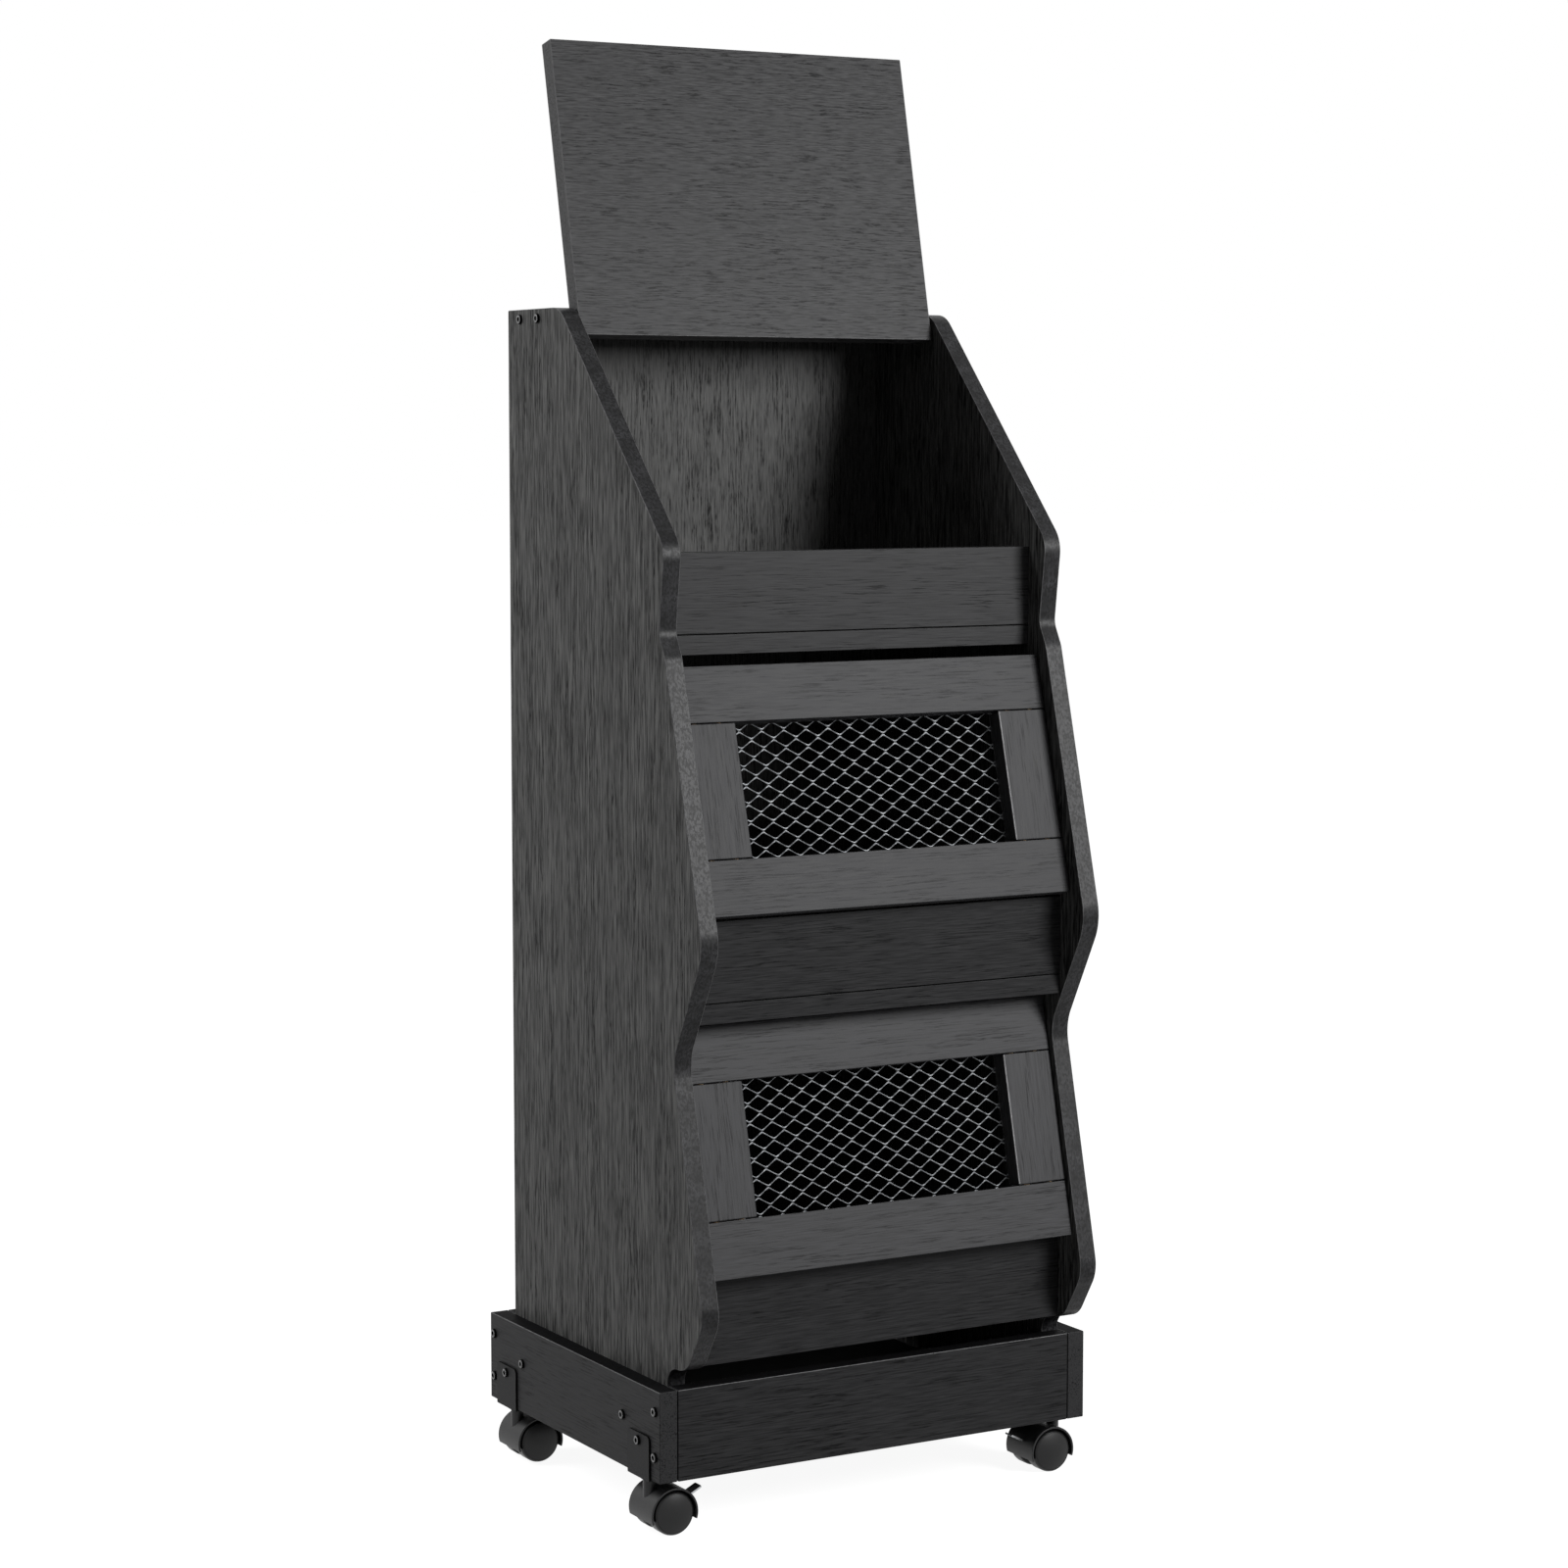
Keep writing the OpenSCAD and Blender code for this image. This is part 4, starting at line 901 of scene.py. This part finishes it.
for name in ("base_screws", "case_screws", "bracket_screws"):
    side_screws(name)
rear_screws("back_screws", [BLACK_SCREW, SCREW_FACE_HIGHLIGHT])


# Brackets
BRACKET_T = 1.6
BRACKET_CORNER = 4.0
BRACKET_CUT = 0.8
PLATE_EASE = 0.25
FLANGE_EASE = 0.4
FLANGE_INSET = 0.3


def brackets(node):
    """Four angle brackets: an upright plate with round upper corners and the flange under the base."""
    surfaces = []
    for low, high in solid_boxes(node):
        side = 1 if low[0] + high[0] > 0 else -1
        upright = [(low[1], low[2], BRACKET_CUT), (high[1], low[2], BRACKET_CUT),
                   (high[1], high[2], BRACKET_CORNER), (low[1], high[2], BRACKET_CORNER)]
        x = (high[0] - BRACKET_T, high[0]) if side > 0 else (low[0], low[0] + BRACKET_T)
        # The plate's edges take the near-black painted shade
        plate = slab(rounded(upright, 6), x[0], x[1], PLATE_EASE, edge_slot=1)
        surfaces.append(laid(plate, FLAT_X))
        ends = (low[0] + FLANGE_INSET, low[1]), (high[0] - FLANGE_INSET, high[1])
        flange = slab(rectangle(*ends, BRACKET_CUT), low[2], low[2] + BRACKET_T, FLANGE_EASE)
        surfaces.append(laid(flange, FLAT_Z))
    return piece("black_" + node, surfaces, [node], [BRACKET, PAINTED_SHADE_EDGE])


brackets("caster_brackets")


# Caster stems
STEM_R = 4.0
FOOT_CHAMFER = 0.6
TOP_CHAMFER = 0.8
COLLAR_T = 2.1
COLLAR_CHAMFER = 0.4


def stems(node):
    """Caster stems: a turned rod with chamfered ends, and the collar under the bracket."""
    surfaces = []
    for low, high in solid_boxes(node):
        at = ((low[0] + high[0]) / 2, (low[1] + high[1]) / 2, 0)
        collar_r = (high[0] - low[0]) / 2
        bracket_low = box_of("caster_brackets")[0][2]
        top, bottom = bracket_low, bracket_low - COLLAR_T
        profile = [
            (0, low[2]), (STEM_R - FOOT_CHAMFER, low[2]), (STEM_R, low[2] + FOOT_CHAMFER), (STEM_R, bottom),
            (collar_r - COLLAR_CHAMFER, bottom), (collar_r, bottom + COLLAR_CHAMFER),
            (collar_r, top - COLLAR_CHAMFER), (collar_r - COLLAR_CHAMFER, top), (STEM_R, top),
            (STEM_R, high[2] - TOP_CHAMFER), (STEM_R - TOP_CHAMFER, high[2]), (0, high[2]),
        ]
        surfaces.append(laid(turned(profile, 48), FLAT_Z, at))
    return piece("steel_" + node, surfaces, [node], [STEEL])


stems("caster_stems")


# Fittings that show when a door or the back is seen. A cam has a gap round it in its pocket, and its face
# stands slightly proud of the board
CAM_CHAMFER = 0.5
CAM_GAP = 0.1
CAM_PROUD = 0.15


def cam_locks(node):
    """Cam locks: turned discs with a chamfered rim, one in each pocket."""
    surfaces = []
    for low, high in solid_boxes(node):
        upright = high[2] - low[2] < high[1] - low[1]
        centre = (low + high) / 2
        radius = (high[0] - low[0]) / 2 - CAM_GAP
        depth = (high[2] - low[2]) if upright else (high[1] - low[1])
        profile = [(0, 0), (radius - CAM_CHAMFER, 0), (radius, CAM_CHAMFER), (radius, depth), (0, depth)]
        if upright:
            axes, at = FLAT_Z, (centre[0], centre[1], low[2] - CAM_PROUD)
        else:
            axes, at = ON_AXLE[-1], (centre[0], high[1] + CAM_PROUD, centre[2])
        surfaces.append(laid(turned(profile, 40), axes, at))
    return piece("zinc_" + node, surfaces, [node], [CAM])


cam_locks("cam_locks")


# A catch's case, and its poles, which stand in from the case's ends, sides and back
CASE_CORNER = 1.5
CASE_EASE = 0.5
POLE_T = 1.2
POLE_CORNER = 0.3
POLE_EASE = 0.15
END_INSET = 4.0
SIDE_INSET = 4.2
BACK_INSET = 2.0
STRIKE_CORNER = 2.0


def catches(node):
    """Magnetic catches: a moulded case, and two steel pole plates that stand out of its front. The upper
    two lean with the upper door and the lower two with the lower door."""
    surfaces = []
    for lean, way in ((UPPER_LEAN, 1), (LOWER_LEAN, -1)):
        boxes = sorted(solid_boxes(node, lean), key=lambda corners: way * corners[0][2])[2:]
        for low, high in boxes:
            case = rectangle((low[2], low[0]), (high[2], high[0]), CASE_CORNER)
            parts = [laid(slab(case, low[1] + CASE_EASE, high[1], CASE_EASE), FLAT_Y)]
            for x in (low[0] + SIDE_INSET, high[0] - SIDE_INSET - POLE_T):
                ends = (low[2] + END_INSET, x), (high[2] - END_INSET, x + POLE_T)
                pole = slab(rectangle(*ends, POLE_CORNER), low[1], high[1] - BACK_INSET, POLE_EASE)
                points, faces, slots = laid(pole, FLAT_Y)
                parts.append((points, faces, [1] * len(slots)))
            surfaces += [tilted(part, lean) for part in parts]
    return piece("nylon_" + node, surfaces, [node], [HOOD, STEEL])


def strikes(node, lean):
    """Strike plates with rounded corners on the back of a door's top rail."""
    surfaces = []
    for side in (-1, 1):
        low, high = box_of(node, lean, side)
        plate = rectangle((low[2], low[0]), (high[2], high[0]), STRIKE_CORNER, 5)
        surfaces.append(tilted(laid(slab(plate, low[1], high[1], PLATE_EASE), FLAT_Y), lean))
    return piece("steel_" + node, surfaces, [node], [STEEL])


catches("catches")
for level, lean in (("upper", UPPER_LEAN), ("lower", LOWER_LEAN)):
    strikes("door_" + level + "_strikes", lean)

# Pins, dowels, axles and bolts keep their shapes from the construction
KEPT = {
    "lid_pins": STEEL, "door_upper_pins": STEEL, "door_lower_pins": STEEL, "cam_bolts": STEEL,
    "door_upper_dowels": BIRCH, "door_lower_dowels": BIRCH,
    **{corner + "_axle": STEEL for corner in CORNERS},
}
for name, material in KEPT.items():
    materials = frame["nodes"][name].data.materials
    materials.clear()
    materials.append(material)


# Floor, light and camera
FLOOR_SIZE = 60000
WORLD_STRENGTH = 0.05
LAMPS_FACE = (0, 0, 550)


def floor_material():
    """Pale floor: to the camera and in reflections it is nearly white and takes a soft shadow, and to
    the light that it throws back it is a plain pale grey."""
    material, tree = new_material("Pale floor")
    seen = seen_rays(tree)
    lit = add(tree, "BsdfDiffuse", {"Color": linear("808080")})
    # The glow rises from 0.93 near the object to 1.0 far off, so the floor is painted slightly darker round
    # the object, where its real shadow also falls
    place = add(tree, "TexCoord", {}, out="Object")
    away = add(tree, "VectorMath", {0: place}, out="Value", operation="LENGTH")
    strength = add(tree, "MapRange", {"Value": away, "From Min": 0.4, "From Max": 2.5,
                                      "To Min": 0.93, "To Max": 1.0})
    glow = add(tree, "Emission", {"Color": (1, 1, 1, 1), "Strength": strength})
    white = add(tree, "AddShader", {0: add(tree, "BsdfDiffuse", {"Color": linear("909090")}), 1: glow})
    finish(tree, add(tree, "MixShader", {0: seen, 1: lit, 2: white}))
    return material


def seen_rays(tree):
    """1 for camera, glossy and transmission rays."""
    path = tree.nodes.new("ShaderNodeLightPath")
    rays = [path.outputs["Is " + kind + " Ray"] for kind in ("Camera", "Glossy", "Transmission")]
    some = add(tree, "Math", {0: rays[0], 1: rays[1]}, operation="MAXIMUM")
    return add(tree, "Math", {0: some, 1: rays[2]}, operation="MAXIMUM")


def world_light(strength):
    """White behind the object, and a weak even light on it."""
    world = bpy.data.worlds.new("Studio")
    bpy.context.scene.world = world
    world.use_nodes = True
    tree = world.node_tree
    tree.nodes.clear()
    weak = add(tree, "Background", {"Color": (1, 1, 1, 1), "Strength": strength})
    white = add(tree, "Background", {"Color": (1, 1, 1, 1), "Strength": 1.0})
    both = add(tree, "MixShader", {0: seen_rays(tree), 1: weak, 2: white})
    add(tree, "OutputWorld", {"Surface": both}, out=None)


def floor():
    """A wide flat floor under the casters."""
    half = FLOOR_SIZE / 2 * MM
    mesh = bpy.data.meshes.new("floor")
    corners = [(-half, -half, 0), (half, -half, 0), (half, half, 0), (-half, half, 0)]
    mesh.from_pydata(corners, [], [(0, 1, 2, 3)])
    mesh.materials.append(floor_material())
    obj = bpy.data.objects.new("floor", mesh)
    bpy.context.scene.collection.objects.link(obj)


def towards(obj, target):
    """Turns a lamp at its place to face a target."""
    obj.rotation_mode = "QUATERNION"
    obj.rotation_quaternion = (Vector(target) * MM - obj.location).to_track_quat("-Z", "Y")


def lamp(name, at, target, size, power):
    """A soft box: a rectangular lamp of a size in millimetres and a power in watts."""
    data = bpy.data.lights.new(name, "AREA")
    data.shape = "RECTANGLE"
    data.size, data.size_y = size[0] * MM, size[1] * MM
    data.energy = power
    obj = bpy.data.objects.new(name, data)
    obj.location = [c * MM for c in at]
    bpy.context.scene.collection.objects.link(obj)
    towards(obj, target)


def camera():
    """The camera: level turn, then tilt down."""
    data = bpy.data.cameras.new("camera")
    data.lens, data.sensor_width = CAMERA_LENS, CAMERA_SENSOR
    data.clip_end = CAMERA_CLIP * MM
    obj = bpy.data.objects.new("camera", data)
    obj.location = [c * MM for c in CAMERA_AT]
    obj.rotation_euler = (np.radians(90 - CAMERA_DOWN), 0, np.radians(-CAMERA_TURN))
    bpy.context.scene.collection.objects.link(obj)
    bpy.context.scene.camera = obj


floor()
world_light(WORLD_STRENGTH)
lamp("key", (1150, -2100, 1460), LAMPS_FACE, (900, 1000), 60)
lamp("left", (-2400, 1400, 2300), LAMPS_FACE, (1200, 1600), 60)
camera()
bpy.context.scene.view_settings.view_transform = "Standard"
